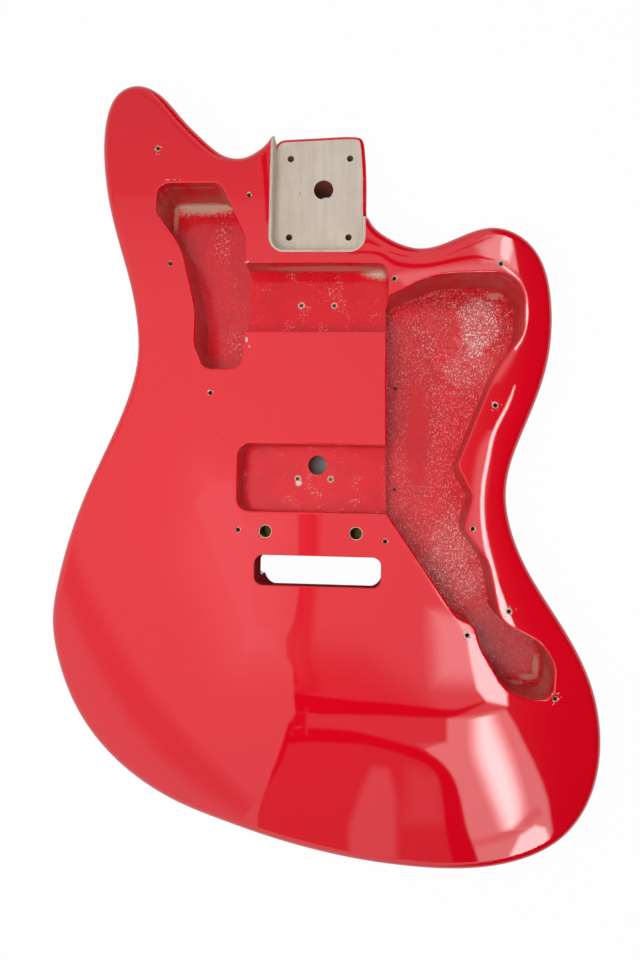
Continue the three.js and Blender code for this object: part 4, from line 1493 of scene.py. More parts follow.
@dataclass(frozen=True)
class Spot:
    """A soft-edged place in a cavity: its middle and its half sizes in millimetres, and its strength."""

    x: float
    y: float
    z: float
    half_x: float
    half_y: float
    half_z: float
    power: float = 1.0

    # Where the rim fades as shares of the half sizes, the noise's middle, and how much it breaks the rim up
    RIM = (0.5, 1.15)
    NOISE_MIDDLE = 0.5
    RAGGEDNESS = 1.2

    def mask(self, graph: Graph, place: Value, ragged: Value, strength: float = RAGGEDNESS) -> Value:
        """How far inside the spot the surface lies: most in the middle, and ragged at the rim.

        Args:
            graph: The material's graph.
            place: The place on the object in metres.
            ragged: Noise that breaks up the rim.
            strength: How much it breaks the rim up.

        Returns:
            The mask.
        """
        centre = (self.x * MM, self.y * MM, self.z * MM)
        scale = (1 / (self.half_x * MM), 1 / (self.half_y * MM), 1 / (self.half_z * MM))
        off = graph.vector("MULTIPLY", graph.vector("SUBTRACT", place, centre), scale)
        far = graph.node("ShaderNodeVectorMath", {"operation": "LENGTH"}, {0: off}, "Value")
        return (1 - (far + (ragged - self.NOISE_MIDDLE) * strength).ramp(*self.RIM)) * self.power


def spots(level: float, *rows: tuple[float, ...]) -> tuple[Spot, ...]:
    """Spots at one level, from rows of middle x and y, three half sizes and, unless it is one, the power."""
    return tuple(Spot(x, y, level, *rest) for x, y, *rest in rows)


@dataclass(frozen=True)
class Spray:
    """What an oversprayed finish is mixed from: the place, the height in millimetres, the floor and noises."""

    graph: Graph
    place: Value
    height: Value
    ground: Value
    grain: Value
    coarse: Value
    ragged: Value
    powder: Value
    blotch: Value
    tone: Value


@dataclass(frozen=True)
class OversprayLook:
    """Wood that the red spray reached: red and gritty on the floor, with pale specks over the grit that are
    painted glints, duller on the walls.

    Noise and relief are in metres; the floor's level, and what is measured up from it, are in millimetres.
    """

    name: str
    floor_level: float
    relief: float
    grit: float
    patchy: float
    red: Colour = (0.76, 0.002, 0.014)
    deep: Colour = (0.46, 0.001, 0.008)
    # Painted glints: the colour of the pale specks over the grit, and of the whiter ones in the painted sheen
    speck_glint: Colour = (0.92, 0.52, 0.49)
    glint: Colour = (1.0, 0.86, 0.84)
    dust: Colour = (0.66, 0.42, 0.32)
    worn_wood: Colour = (0.78, 0.64, 0.54)
    dusty: tuple[Spot, ...] = ()
    # Spots with more grit and more painted glint specks, and, where the look gives it, a painted sheen
    glint_spots: tuple[Spot, ...] = ()
    smooth: tuple[Spot, ...] = ()
    shaded: tuple[Spot, ...] = ()
    worn: tuple[Spot, ...] = ()
    grain_size: float = 0.0011
    blotch_size: float = 0.012
    roughness: float = 0.14
    wall_roughness: float = 0.16
    # How far the glint spots are washed pale: a painted sheen of reflected light
    reflected_sheen: float = 0.0
    wall_dust: float = 0.12
    gloss: float = 0.42
    mottle: float = 0.22

    # Noise, its size as a share of the grain's
    GRAIN = Noise(1.0, 2.0, 0.6, (1.0, 0.6, 1.0))
    COARSE = Noise(3.2, 2.0, 0.6, (1.0, 0.7, 1.0))
    RAGGED = Noise(4.0, 3.0, 0.7)
    POWDER = Noise(1.4, 2.0, 0.7)

    # Noise, its size as a share of the blotches'
    BLOTCH = Noise(1.0, 3.0, 0.6)
    TONE = Noise(1.6, 4.0, 0.7)

    # Soft steps up the noise
    PATCHES = (0.52, 0.66)
    SPECKS = (0.54, 0.68)
    HOLLOW_SHADE_STEPS = (0.34, 0.5)
    WALL_BLOTCHES = (0.35, 0.65)
    TONES = (0.46, 0.6)
    WALL_DUST = (0.36, 0.7)
    LINE_BREAKS = (0.42, 0.62)

    # Heights above the floor: where it turns into wall, and where the dust along the foot starts and ends
    FLOOR_END = (0.15, 0.6)
    FOOT_START = (0.2, 0.5)
    FOOT_END = (1.26, 1.8)

    # The dusty line along the walls: how far it is below the face, and where it starts and ends about that
    RIM_DROP = 7.5
    RIM_START = (-1.6, -0.4)
    RIM_END = (0.4, 1.2)

    # Shares of the parts of each mixture
    GLINT_SPOT_GRIT = 0.45
    GLINT_SPOT_RAGGEDNESS = 2.4
    SMOOTHED = 0.85
    SPECK_PARTS = (0.85, 0.15, 0.03)
    RELIEF_PARTS = (0.6, 0.4)
    HOLLOW_SHADE_DEPTH = 0.85
    WALL_SHADE = (0.3, 0.5)
    GLINT_SHARE = 4
    RIM_DUST = 0.7
    LINE_DUST = 0.5
    DUST_PARTS = (0.7, 0.3)
    DUST_RAGGEDNESS = 1.9
    WORN_RAGGEDNESS = 0.9
    LEAST_RELIEF = 0.12
    WALL_RELIEF = 0.2
    BLOTCH_RELIEF = 0.5

    def make(self) -> bpy.types.Material:
        """Builds the material."""
        material, graph = new_material(self.name)
        place = graph.place()
        height = graph.node("ShaderNodeSeparateXYZ", None, {0: place}, "Z") / MM
        fine = [
            graph.noise(noise, self.grain_size)
            for noise in (self.GRAIN, self.COARSE, self.RAGGED, self.POWDER)
        ]
        broad = [graph.noise(noise, self.blotch_size) for noise in (self.BLOTCH, self.TONE)]
        ground = 1 - self._rise(height, self.floor_level, self.FLOOR_END)
        spray = Spray(graph, place, height, ground, *fine, *broad)
        gritty, reflected_sheen = self._grit(spray)
        small, large = self.RELIEF_PARTS
        rugged = spray.grain * small + spray.coarse * large
        colour = self._red(spray, rugged, gritty)
        colour = self._painted_glints(spray, colour, gritty, reflected_sheen)
        colour = self._dust(spray, colour)
        relief = rugged * (self.LEAST_RELIEF + gritty) * (self.WALL_RELIEF + (1 - self.WALL_RELIEF) * ground)
        graph.finish({
            "Base Color": colour, "Roughness": self.roughness + (1 - ground) * self.wall_roughness,
            "IOR": REFRACTION, "Specular IOR Level": self.gloss,
            "Normal": graph.bump(relief + spray.blotch * self.BLOTCH_RELIEF, self.relief),
        })
        return material

    def _grit(self, spray: Spray) -> tuple[Value, Value | float]:
        """How gritty the floor is, and how strong the painted sheen of its glint spots is."""
        patches = spray.blotch.ramp(*self.PATCHES)
        gritty = self.grit * (1 - self.patchy) + self.grit * self.patchy * patches
        reflected_sheen = 0.0
        for spot in self.glint_spots:
            mask = spot.mask(spray.graph, spray.place, spray.blotch, self.GLINT_SPOT_RAGGEDNESS)
            gritty = gritty + mask * self.GLINT_SPOT_GRIT
            reflected_sheen = reflected_sheen + mask * self.reflected_sheen
        for spot in self.smooth:
            gritty = gritty * (1 - spot.mask(spray.graph, spray.place, spray.blotch) * self.SMOOTHED)
        return gritty, reflected_sheen

    def _red(self, spray: Spray, rugged: Value, gritty: Value) -> Value:
        """The red of the spray, deeper up the walls, in blotches and in the shaded spots, with painted shade
        in the low places of the relief.
        """
        graph = spray.graph
        # Painted shade: the red darkens where the relief is low
        hollow_shade = (1 - rugged.ramp(*self.HOLLOW_SHADE_STEPS)) * gritty * self.HOLLOW_SHADE_DEPTH
        even, uneven = self.WALL_SHADE
        shade = (1 - spray.ground) * (even + uneven * spray.blotch.ramp(*self.WALL_BLOTCHES))
        colour = graph.mix(hollow_shade * spray.ground + shade, self.red, self.deep)
        colour = graph.mix(spray.tone.ramp(*self.TONES) * self.mottle, colour, self.deep)
        for spot in self.shaded:
            colour = graph.mix(spot.mask(graph, spray.place, spray.coarse), colour, self.deep)
        return colour

    def _painted_glints(self, spray: Spray, colour: Value, gritty: Value, reflected_sheen: Value | float) -> Value:
        """The colour with pale specks over the grit, which are painted glints, whiter still in the painted
        sheen of the glint spots.
        """
        small, large, more = self.SPECK_PARTS
        # The pale specks are painted glints of light on the grit
        glint_speck = (spray.grain * small + spray.coarse * large + gritty * more).ramp(*self.SPECKS)
        shine = self.speck_glint
        if self.reflected_sheen:
            # Painted sheen of reflected light in the glint spots, and whiter painted glints
            colour = spray.graph.mix(reflected_sheen, colour, self.speck_glint)
            shine = spray.graph.mix(reflected_sheen * self.GLINT_SHARE, self.speck_glint, self.glint)
        return spray.graph.mix(glint_speck * gritty * spray.ground, colour, shine)

    def _dust(self, spray: Spray, colour: Value) -> Value:
        """The colour with dust on the walls and in the dusty spots, and bare wood in the worn ones."""
        graph, place = spray.graph, spray.place
        walls = (1 - spray.ground) * spray.blotch.ramp(*self.WALL_DUST) * self.wall_dust
        colour = graph.mix(walls, colour, self.dust)
        lines = self._lines(spray.height) * spray.ragged.ramp(*self.LINE_BREAKS) * self.LINE_DUST
        colour = graph.mix(lines, colour, self.dust)
        small, large = self.DUST_PARTS
        for spot in self.dusty:
            mask = spot.mask(graph, place, spray.powder * small + spray.ragged * large, self.DUST_RAGGEDNESS)
            colour = graph.mix(mask, colour, self.dust)
        for spot in self.worn:
            mask = spot.mask(graph, place, spray.powder, self.WORN_RAGGEDNESS)
            colour = graph.mix(mask, colour, self.worn_wood)
        return colour

    def _lines(self, height: Value) -> Value:
        """The dusty lines along the walls: one at the foot, and a fainter one near the rim."""
        foot = self._rise(height, self.floor_level, self.FOOT_START)
        foot = foot * (1 - self._rise(height, self.floor_level, self.FOOT_END))
        rim = BODY.thickness - self.RIM_DROP
        line = self._rise(height, rim, self.RIM_START) * (1 - self._rise(height, rim, self.RIM_END))
        return foot + line * self.RIM_DUST

    @staticmethod
    def _rise(height: Value, level: float, steps: Steps) -> Value:
        """A soft step up the height, measured from a level."""
        return height.ramp(level + steps[0], level + steps[1])


@dataclass(frozen=True)
class WoodLook:
    """Bare wood with its grain along the body."""

    name: str
    light: Colour
    dark: Colour
    pore: Colour
    roughness: float = 0.7
    gloss: float = 0.25
    marks: float = 0.0

    RINGS = Noise(0.004, 4.0, 0.6, (1.0, 0.06, 1.0))
    PORES = Noise(0.0007, 2.0, 0.7, (1.0, 0.045, 1.0))
    SMUDGE = Noise(0.018, 3.0)
    MARK = Noise(0.0019, 2.0, 0.5, (1.0, 0.22, 1.0))
    MARK_COLOUR = (0.12, 0.1, 0.08)
    RELIEF = 0.00012

    # Soft steps up the noise, and the shares of the parts of the mixture
    TONES = (0.42, 0.78)
    PORE_STEPS = (0.56, 0.72)
    MARK_STEPS = (0.71, 0.75)
    TONE_PARTS = (0.7, 0.5)
    PORE_DEPTH = 0.45

    def make(self) -> bpy.types.Material:
        """Builds the material."""
        material, graph = new_material(self.name)
        rings, pores, smudge = (graph.noise(noise) for noise in (self.RINGS, self.PORES, self.SMUDGE))
        clear, soft = self.TONE_PARTS
        colour = graph.mix((rings * clear + smudge * soft).ramp(*self.TONES), self.light, self.dark)
        colour = graph.mix(pores.ramp(*self.PORE_STEPS) * self.PORE_DEPTH, colour, self.pore)
        if self.marks:
            mark = graph.noise(self.MARK).ramp(*self.MARK_STEPS)
            colour = graph.mix(mark * self.marks, colour, self.MARK_COLOUR)
        graph.finish({
            "Base Color": colour, "Roughness": self.roughness, "Specular IOR Level": self.gloss,
            "Normal": graph.bump(pores + rings, self.RELIEF),
        })
        return material


class BoardMaterials:
    """The finishes of the boards, in the order of their slots."""

    def __init__(self) -> None:
        """Makes every finish."""
        looks: dict[Finish, WoodLook | OversprayLook] = {
            Finish.RAW: WoodLook("raw_wood", (0.64, 0.56, 0.46), (0.52, 0.44, 0.35), (0.3, 0.24, 0.18)),
            Finish.BARE: WoodLook(
                "bare_pocket_wood", (0.71, 0.615, 0.515), (0.62, 0.525, 0.44), (0.44, 0.37, 0.3), marks=0.8),
            Finish.OVERSPRAY: self._horn(),
            Finish.BORE: WoodLook(
                "drilled_wood", (0.34, 0.25, 0.09), (0.24, 0.17, 0.06), (0.08, 0.05, 0.02), gloss=0.0),
            Finish.CHIP: WoodLook("chipped_edge", (0.8, 0.62, 0.52), (0.7, 0.44, 0.37), (0.6, 0.25, 0.2)),
            Finish.PICKUP: self._pickup(),
            Finish.SLOT: WoodLook(
                "slot_walls", (0.5, 0.035, 0.045), (0.36, 0.03, 0.035), (0.2, 0.02, 0.02), gloss=0.0),
            Finish.STAINED: WoodLook(
                "stained_hole", (0.34, 0.09, 0.08), (0.24, 0.06, 0.05), (0.14, 0.04, 0.03), gloss=0.1),
            Finish.CONTROL: self._control(),
        }
        self.by_finish = [looks[finish].make() for finish in Finish]

    @staticmethod
    def _horn() -> OversprayLook:
        """The horn cavity's inside."""
        return OversprayLook(
            "oversprayed_cavity", DEEP_FLOOR, relief=0.0003, grit=0.16, patchy=0.5,
            dusty=spots(DEEP_FLOOR, (-86, 177, 28, 7, 5), (-104.5, 167, 1.8, 10, 4, 0.7)),
            # Spots with more grit, and so more painted glint specks
            glint_spots=spots(DEEP_FLOOR, (-72, 155, 8, 17, 4), (-62, 84, 9, 12, 4)),
        )

    @staticmethod
    def _control() -> OversprayLook:
        """The control cavity's inside, the grittiest."""
        return OversprayLook(
            "oversprayed_control_cavity", DEEP_FLOOR, relief=0.0005, grit=0.8, patchy=0.35,
            # The painted sheen's strength, and the colour of the painted glint specks
            grain_size=0.0009, reflected_sheen=0.12, wall_dust=0.2, gloss=0.33, speck_glint=(0.96, 0.56, 0.52),
            dusty=spots(
                DEEP_FLOOR, (109, 116.5, 6, 2.4, 4, 0.5), (139.5, -124, 2.4, 8.5, 4, 0.65),
                (134.5, -131.5, 6.5, 2.2, 4, 0.5), (126, -135.5, 6.5, 1.6, 4, 0.4),
            ) + spots(24, (141, -131, 10, 12, 14, 0.3)),
            # Spots of painted glints and painted sheen
            glint_spots=spots(
                DEEP_FLOOR, (101, 97, 15, 18, 4, 1.6), (94, 72, 15, 20, 4, 0.8), (84, -60, 22, 38, 4, 0.9)),
            smooth=spots(
                DEEP_FLOOR, (61, 22, 8, 38, 5), (84, 88, 5, 15, 5, 0.7), (122, -112, 30, 34, 5, 0.45)),
            shaded=spots(
                DEEP_FLOOR, (84, 114, 44, 8, 9, 0.6), (117, 100, 5, 18, 9, 0.5), (62, 50, 14, 60, 9, 0.25),
                (124, -110, 30, 38, 9, 0.5), (78, -82, 10, 40, 9, 0.3),
            ),
        )

    @staticmethod
    def _pickup() -> OversprayLook:
        """The pickup cavities' inside, worn to the wood round the screw pilots."""
        return OversprayLook(
            "oversprayed_pickup_cavity", PICKUP_FLOOR, relief=0.00025, grit=0.6, patchy=0.9,
            grain_size=0.0008, gloss=0.27,
            dusty=spots(25, (33.5, 126.5, 12, 4.5, 6.5)) + spots(31.5, (0, 127, 46, 4, 6.5, 0.6)),
            worn=spots(
                PICKUP_FLOOR, (-16.2, 105.6, 2.3, 2.3, 2), (5, 105.6, 2.1, 2.1, 2),
                (-16.2, -6.5, 2.3, 2.3, 2), (5, -6.5, 2.3, 2.3, 2), (-15.6, -9.4, 2.3, 2, 2),
            ) + spots(25, (33.5, 127.5, 7, 3, 5, 0.8)),
            smooth=spots(PICKUP_FLOOR, (-32, 105, 12, 24, 5), (-34, -8, 17, 30, 5)),
        )


@dataclass(frozen=True)
class LensView:
    """The camera that the photograph was taken with, worked out from the holes' known spacing."""

    place_mm: Colour = (32.91, -17.69, 519.65)
    turn_degrees: Colour = (1.30545793, 3.97265543, 1.22364408)
    lens: float = 29.0625
    sensor: float = 36.0
    nearest: float = 0.01

    def place_camera(self) -> None:
        """Adds the camera and makes it the scene's."""
        data = bpy.data.cameras.new("front_view")
        data.lens = self.lens
        data.sensor_width = self.sensor
        data.clip_start = self.nearest
        camera = add_object("front_view", data)
        turn = Euler([math.radians(angle) for angle in self.turn_degrees], "XYZ")
        camera.matrix_world = Matrix.Translation(Vector(self.place_mm) * MM) @ turn.to_matrix().to_4x4()
        bpy.context.scene.camera = camera


@dataclass(frozen=True)
class Panel:
    """A flat thing overhead that only shows as a reflection, drawn where the flat face shows it.

    Its corners are in millimetres on the face, and so is the soft edge's width. A corner can have its own.
    """

    name: str
    corners: tuple[tuple[float, ...], ...]
    strength: float
    layer: int
    feather: float = 3.0
    opacity: float = 1.0


@dataclass(frozen=True)
class Band:
    """A long narrow thing overhead, drawn along a line of (x, y, width) on the face."""

    name: str
    line: tuple[tuple[float, float, float], ...]
    strength: float
    layer: int
    feather: float = 3.0
    opacity: float = 1.0


class Reflections:
    """Lamps, panels and rails overhead that the polished face mirrors."""

    # In millimetres: how high things hang, the gap between layers, the longest side on the face, and how far
    # off the body the slope of its edge dies away
    HEIGHT = 1500.0
    LAYER_GAP = 6.0
    SIDE_STEP = 9.0
    FADE = 120.0

    # Rows across a soft edge as shares of its width, and how solid a thing is there
    STEPS = (0.5, 0.17, -0.17, -0.5)
    VEILS = (0.0, 0.26, 0.74, 1.0)
    VEIL = "veil"

    # Samples from one point of a band's line to the next
    SMOOTH_PARTS = 8

    def __init__(self, view: LensView, outline: Outline) -> None:
        """Keeps the eye that the face is seen from, and the face's soft height."""
        self.eye = np.array(view.place_mm)
        self.outline = outline
        self.soft = SoftField(outline, BODY, Side.FRONT)

    def _overhead(self, face: np.ndarray, layer: int) -> np.ndarray:
        """Finds what the polished face shows at places on it.

        Args:
            face: Places on the face in millimetres.
            layer: How far up the thing lies among the others.

        Returns:
            The places overhead, in metres. On the edge's rounding the slope beside it is kept, and off the
            body it dies away.
        """
        distance, inward, _ = self.outline.nearest(face)
        back = np.maximum(0, BODY.edge_radius - distance)
        height, slope = self.soft(face + inward * back[:, None])
        slope *= 1 - smooth_step(-distance / self.FADE)[:, None]
        normal = unit(np.column_stack([slope, np.ones(len(face))]))
        spot = np.column_stack([face, BODY.thickness - height])
        ray = spot - self.eye
        ray -= 2 * (ray * normal).sum(1)[:, None] * normal
        up = self.HEIGHT + layer * self.LAYER_GAP
        return (spot + ray * ((up - spot[:, 2]) / ray[:, 2])[:, None]) * MM

    def _material(self, name: str, strength: float) -> bpy.types.Material:
        """A glow that thins out towards its soft edge."""
        material, graph = new_material(name)
        veil = graph.node("ShaderNodeAttribute", {"attribute_name": self.VEIL}, output="Fac")
        glow = graph.node("ShaderNodeEmission", None, {"Color": WHITE, "Strength": strength})
        graph.surface(graph.blend(veil, graph.node("ShaderNodeBsdfTransparent"), glow))
        return material

    def _object(self, name: str, rows: Sequence[np.ndarray], veils: Sequence[float], layer: int,
                strength: float, closed: bool) -> None:
        """Builds one overhead thing from rows of points.

        Args:
            name: Its name.
            rows: Rows of as many places on the face each.
            veils: How solid it is along each row.
            layer: How far up it lies among the others.
            strength: Its brightness.
            closed: Whether each row is a loop, the last of which is filled.
        """
        count = len(rows[0])
        places = self._overhead(np.concatenate(rows), layer)
        faces = []
        last = count if closed else count - 1
        for row in range(len(rows) - 1):
            for i in range(last):
                a, b = row * count + i, row * count + (i + 1) % count
                faces.append((a, b, b + count, a + count))
        if closed:
            faces.append(tuple(range((len(rows) - 1) * count, len(rows) * count)))
        mesh = bpy.data.meshes.new(name)
        mesh.from_pydata(places.tolist(), [], faces)
        veil = mesh.attributes.new(self.VEIL, "FLOAT", "POINT")
        veil.data.foreach_set("value", np.repeat(veils, count).astype(np.float32))
        mesh.materials.append(self._material(name, strength))
        thing = add_object(name, mesh)
        thing.visible_camera = False
        thing.visible_diffuse = False
        thing.visible_transmission = False
        thing.visible_shadow = False

    def add_panel(self, panel: Panel) -> None:
        """Adds a panel with a soft edge."""
        corners = np.array([(*corner, panel.feather)[:3] for corner in panel.corners], float)
        if cross2(corners[:, :2], np.roll(corners[:, :2], -1, axis=0)).sum() < 0:
            corners = corners[::-1].copy()
        corners = subdivide(corners, self.SIDE_STEP)
        loop, feather = corners[:, :2], corners[:, 2:]
        outward = loop_normals(loop, outward=True)
        rows = [loop + outward * feather * step for step in self.STEPS]
        veils = np.array(self.VEILS) * panel.opacity
        self._object(panel.name, rows, veils, panel.layer, panel.strength, closed=True)

    def add_band(self, band: Band) -> None:
        """Adds a band with soft edges, smooth along its line."""
        line = self._smooth(np.array(band.line, float))
        ahead = unit(np.gradient(line[:, :2], axis=0))
        across = np.stack([-ahead[:, 1], ahead[:, 0]], 1)
        half = line[:, 2:] / 2
        reaches = [np.maximum(half + band.feather * step, 0) for step in self.STEPS]
        rows = [line[:, :2] - across * reach for reach in reaches]
        rows += [line[:, :2] + across * reach for reach in reversed(reaches)]
        veils = np.array((*self.VEILS, *reversed(self.VEILS))) * band.opacity
        self._object(band.name, rows, veils, band.layer, band.strength, closed=False)

    @classmethod
    def _smooth(cls, line: np.ndarray) -> np.ndarray:
        """A smooth line through the points."""
        padded = np.vstack([2 * line[0] - line[1], line, 2 * line[-1] - line[-2]])
        steps = np.linspace(0, 1, cls.SMOOTH_PARTS, endpoint=False)[:, None]
        pieces = []
        for i in range(1, len(padded) - 2):
            p0, p1, p2, p3 = padded[i - 1:i + 3]
            bend = 2 * p0 - 5 * p1 + 4 * p2 - p3
            twist = 3 * p1 - p0 - 3 * p2 + p3
            pieces.append(p1 + ((p2 - p0) * steps + bend * steps ** 2 + twist * steps ** 3) / 2)
        pieces.append(padded[-2:-1])
        return np.concatenate(pieces)


# How far out the largest panels reach on the face, in millimetres
FAR = 1300.0

PANELS = (
    Panel("ceiling", (
        (-FAR, FAR), (108, FAR), (113, 147), (116, 130), (119.5, 116), (124, 104), (124, 94), (122, 85),
        (117, 72), (107, 56), (97, 42), (84, 20), (84, 0), (91, -20), (96, -40), (106, -62), (113, -78),
        (121, -97), (117, -112), (114, -131), (114.6, -143.5), (120, -152), (126, -164), (132, -175.5),
        (137, -187), (140, -196), (142, -205), (143.5, -215), (140, -224), (150, -300), (150, -FAR),
        (-FAR, -FAR)), 1.3, 16, 2.0),
    Panel("softbox", (
        (-FAR, FAR), (-30, FAR, 8), (-30, 85, 8), (-34, 60, 5), (-35, 16, 4), (-24, -10, 3), (-13, -30),
        (-12, -73), (-14.5, -94), (-19, -105), (-18.5, -116), (-14.5, -123), (-13.5, -142), (-12.5, -151),
        (-16.5, -157),
        (-19.5, -168), (-24, -182), (-30, -198), (-34, -213), (-36, -241), (-60, -FAR), (-FAR, -FAR)),
        1.33, 5, 1.2),
    Panel("horn_dusk", ((-FAR, 158, 110), (-14, 158, 110), (-14, FAR, 12), (-FAR, FAR, 12)), 0.76, 3, 12.0),
    Panel("softbox_bloom", ((-75, 0), (-20, -30), (-18, -120), (-52, -125), (-80, -60)), 2.1, 4, 44.0, 0.75),
    Panel("low_haze", (
        (-20, -108, 34), (30, -114, 34), (60, -133, 24), (72, -143, 8), (70, -150, 3), (-20, -150, 3)),
        0.52, 12),
    Panel("between_rails", (
        (-8, -150), (79, -149), (79.2, -164), (52, -167.5), (18, -160), (-8, -160)), 0.68, 11, 2.0),
    Panel("low_room", (
        (-40, -166), (60, -166), (80, -176), (86, -200), (90, -290), (-60, -290)), 0.4, 12, 3.0),
    Panel("low_room_right", ((57, -180), (76, -186), (80, -212), (54, -215)), 0.85, 11, 12.0),
    Panel("low_blob", (
        (35, -181), (45, -182), (50, -200), (51, -270), (23, -270), (21.5, -217), (29, -196)), 1.35, 10, 6.0),
    Panel("right_sheen", ((69, -86, 14), (97, -90, 4), (107, -128), (73, -128)), 4.8, 11, 16.0),
    Panel("right_wedge", (
        (90.5, -97), (95.5, -99), (104, -117), (115, -134), (115.5, -141), (103, -139), (97, -132),
        (93.5, -117)), 14.0, 7, 2.5),
    Panel("right_window", (
        (80, -149.5), (92, -148.5), (114.6, -143.5), (120, -152), (126, -164), (132, -175.5), (137, -187),
        (140, -196), (141.5, -205), (143, -215), (141, -226), (136, -290), (108, -290), (99, -245),
        (90, -207), (85, -187), (67, -169), (80, -164)), 3.8, 11, 2.5),
    Panel("low_patch", (
        (117, -250), (119.5, -228), (124, -218), (133, -211.5), (139, -212.5), (141, -218), (142, -250)),
        14.0, 8, 3.0),
    Panel("horn_sheen", (
        (93, 137, 10), (106, 148), (113, 150, 2), (116, 130, 2), (118, 121, 2), (108, 126), (97, 127.5)),
        6.0, 8, 7.0),
    Panel("horn_white", ((107.5, 141), (112.5, 150), (114, 135), (112, 127), (107, 130)), 14.0, 7, 2.5),
    Panel("under_shoulder", (
        (43, 119.5), (64, 123), (89, 126.5), (107, 125), (116, 120), (122, 108), (118, 100), (104, 116),
        (77, 115), (52, 110)), 3.2, 9, 4.0),
)

BANDS = (
    Band("tall_shade", (
        (-9, -24, 16), (-8, -50, 15), (-8, -75, 14), (-9, -110, 11), (-6, -138, 18)), 0.26, 10, 7.0),
    Band("dark_corner", (
        (-12, -54, 6), (-12, -75, 6), (-13, -94, 8), (-16.5, -106, 9), (-16, -119, 7), (-12.5, -133, 4)),
        0.02, 9, 2.0),
    Band("top_rail", (
        (-18, -143.6, 12.6), (3, -145, 11), (27, -145.8, 9), (51, -146, 8), (79, -146.7, 5.5),
        (88, -145, 3.6), (96, -142, 2.2), (103, -139, 1)), 0.02, 8, 1.8),
    Band("rail_post", ((-10, -146, 8), (-10, -164, 8)), 0.05, 8, 2.5),
    Band("hoop", (
        (-21, -166, 8), (-9, -164, 8.6), (18, -163.7, 8), (40, -166.4, 6.7), (58, -171, 6.3), (72, -177, 7),
        (79.5, -186, 8.6), (83, -198, 10.4), (86.5, -216, 12.5), (92.5, -236, 15), (97, -256, 16)),
        0.02, 8, 2.0),
    Band("hoop_tail", ((-15, -155, 6), (-19.5, -172, 4.6), (-23, -182, 4), (-28, -193, 1.6)), 0.03, 9, 1.6),
    Band("sheen_edge", (
        (41.5, -27.5, 0.9), (51.5, -42.4, 1.1), (60, -55, 1.5), (69.5, -69, 1.9), (79, -82, 2.6),
        (86.5, -91, 3.4), (92, -98, 5)), 9.0, 7, 1.0),
    Band("window_core", ((101, -148, 9), (105.5, -168, 16), (112, -185, 16), (117, -200, 14), (120, -215, 8)),
         17.0, 10, 11.0),
    Band("dim_slash", ((95, -225, 5), (118, -217, 5), (136, -202, 5)), 2.3, 9, 4.0, 0.85),
    Band("shoulder_line", (
        (14, 133, 1.6), (24, 133.5, 2), (34, 132, 2.5), (43, 126.7, 3.1), (53.5, 125, 3.1),
        (64.5, 125.5, 2.8), (76.5, 128, 2.8), (85.6, 129.8, 2.8), (94.6, 130.4, 2.1), (103, 128.6, 0.8)),
        0.05, 6, 1.2),
    Band("shoulder_start", ((16, 141, 3), (26, 140.4, 3), (34, 137.3, 1.2)), 0.1, 6, 1.4),
    Band("fine_line", ((38.6, 134.2, 0.6), (46, 131.7, 1), (52, 131, 0.6)), 0.1, 6, 0.7),
    Band("fine_line_far", (
        (75, 131.7, 0.5), (83.6, 135.3, 0.8), (92, 139, 0.8), (102, 143.3, 0.5)), 0.25, 6, 0.7),
    Band("streak_high", (
        (108, 125, 0.8), (114, 120.2, 1.4), (118.6, 114.5, 2), (121.3, 108.4, 2.2), (122.5, 102, 2.2),
        (122.8, 96, 2.4), (122, 88.3, 2.4), (119.8, 80.5, 2.2), (116.6, 73.5, 1.2)), 17.0, 6, 0.8),
    Band("streak_glow", (
        (118, 106, 5), (119, 93, 5), (117, 82, 5), (113, 71, 6), (109, 62, 5), (105, 54, 3)),
        2.4, 8, 5.0, 0.7),
    Band("streak_low", (
        (117, 52.5, 0.3), (114.7, 45, 1.1), (111.7, 37.7, 1.6), (106.8, 27.9, 1.8), (103.8, 19.4, 1.9),
        (102, 9.6, 2), (100.8, 2.3, 2), (99.4, -5.6, 2), (98.6, -14.7, 2), (98.7, -23.8, 2.2),
        (99.4, -32.8, 2.4),
        (101.4, -44.8, 2.8), (104.6, -56.8, 3), (107.6, -68.8, 3.6), (110.4, -77.7, 4.4), (113.6, -86.6, 5),
        (118, -95, 3.6)), 17.0, 6, 1.2),
    Band("streak_low_glow", (
        (104, 24, 3), (99.5, 12.6, 6), (97.5, -2.6, 7.5), (96, -18, 7.5), (96, -36, 8.5), (100, -49, 7.4),
        (105, -66, 6)), 2.4, 8, 5.0),
    Band("contour_shade", (
        (-171, -30, 10), (-161.6, -61, 14.7), (-146.5, -93, 18), (-125.7, -127, 20.8), (-101.4, -159.6, 22),
        (-73.7, -186.6, 20), (-40, -212, 12)), 0.8, 3, 12.0),
    Band("neck_shade", ((-40, 197, 3.5), (-38, 175.6, 3.1), (-36.3, 152, 2.2)), 0.05, 2, 1.0),
    Band("horn_line", (
        (-121, 235.5, 1), (-106.5, 226.4, 1.8), (-93.3, 211, 2.1), (-80, 199.3, 2.1), (-67.4, 192.3, 1.5),
        (-54.7, 190, 1.2), (-41, 194, 0.7)), 0.45, 2, 0.8),
)


@dataclass(frozen=True)
class Lamp:
    """A soft lamp that lights the body but shows in no reflection."""

    name: str
    place: Colour
    size: float
    power: float


KEY_LAMP = Lamp("key_lamp", (-0.078, -0.024, 0.5), 0.22, 1.22)


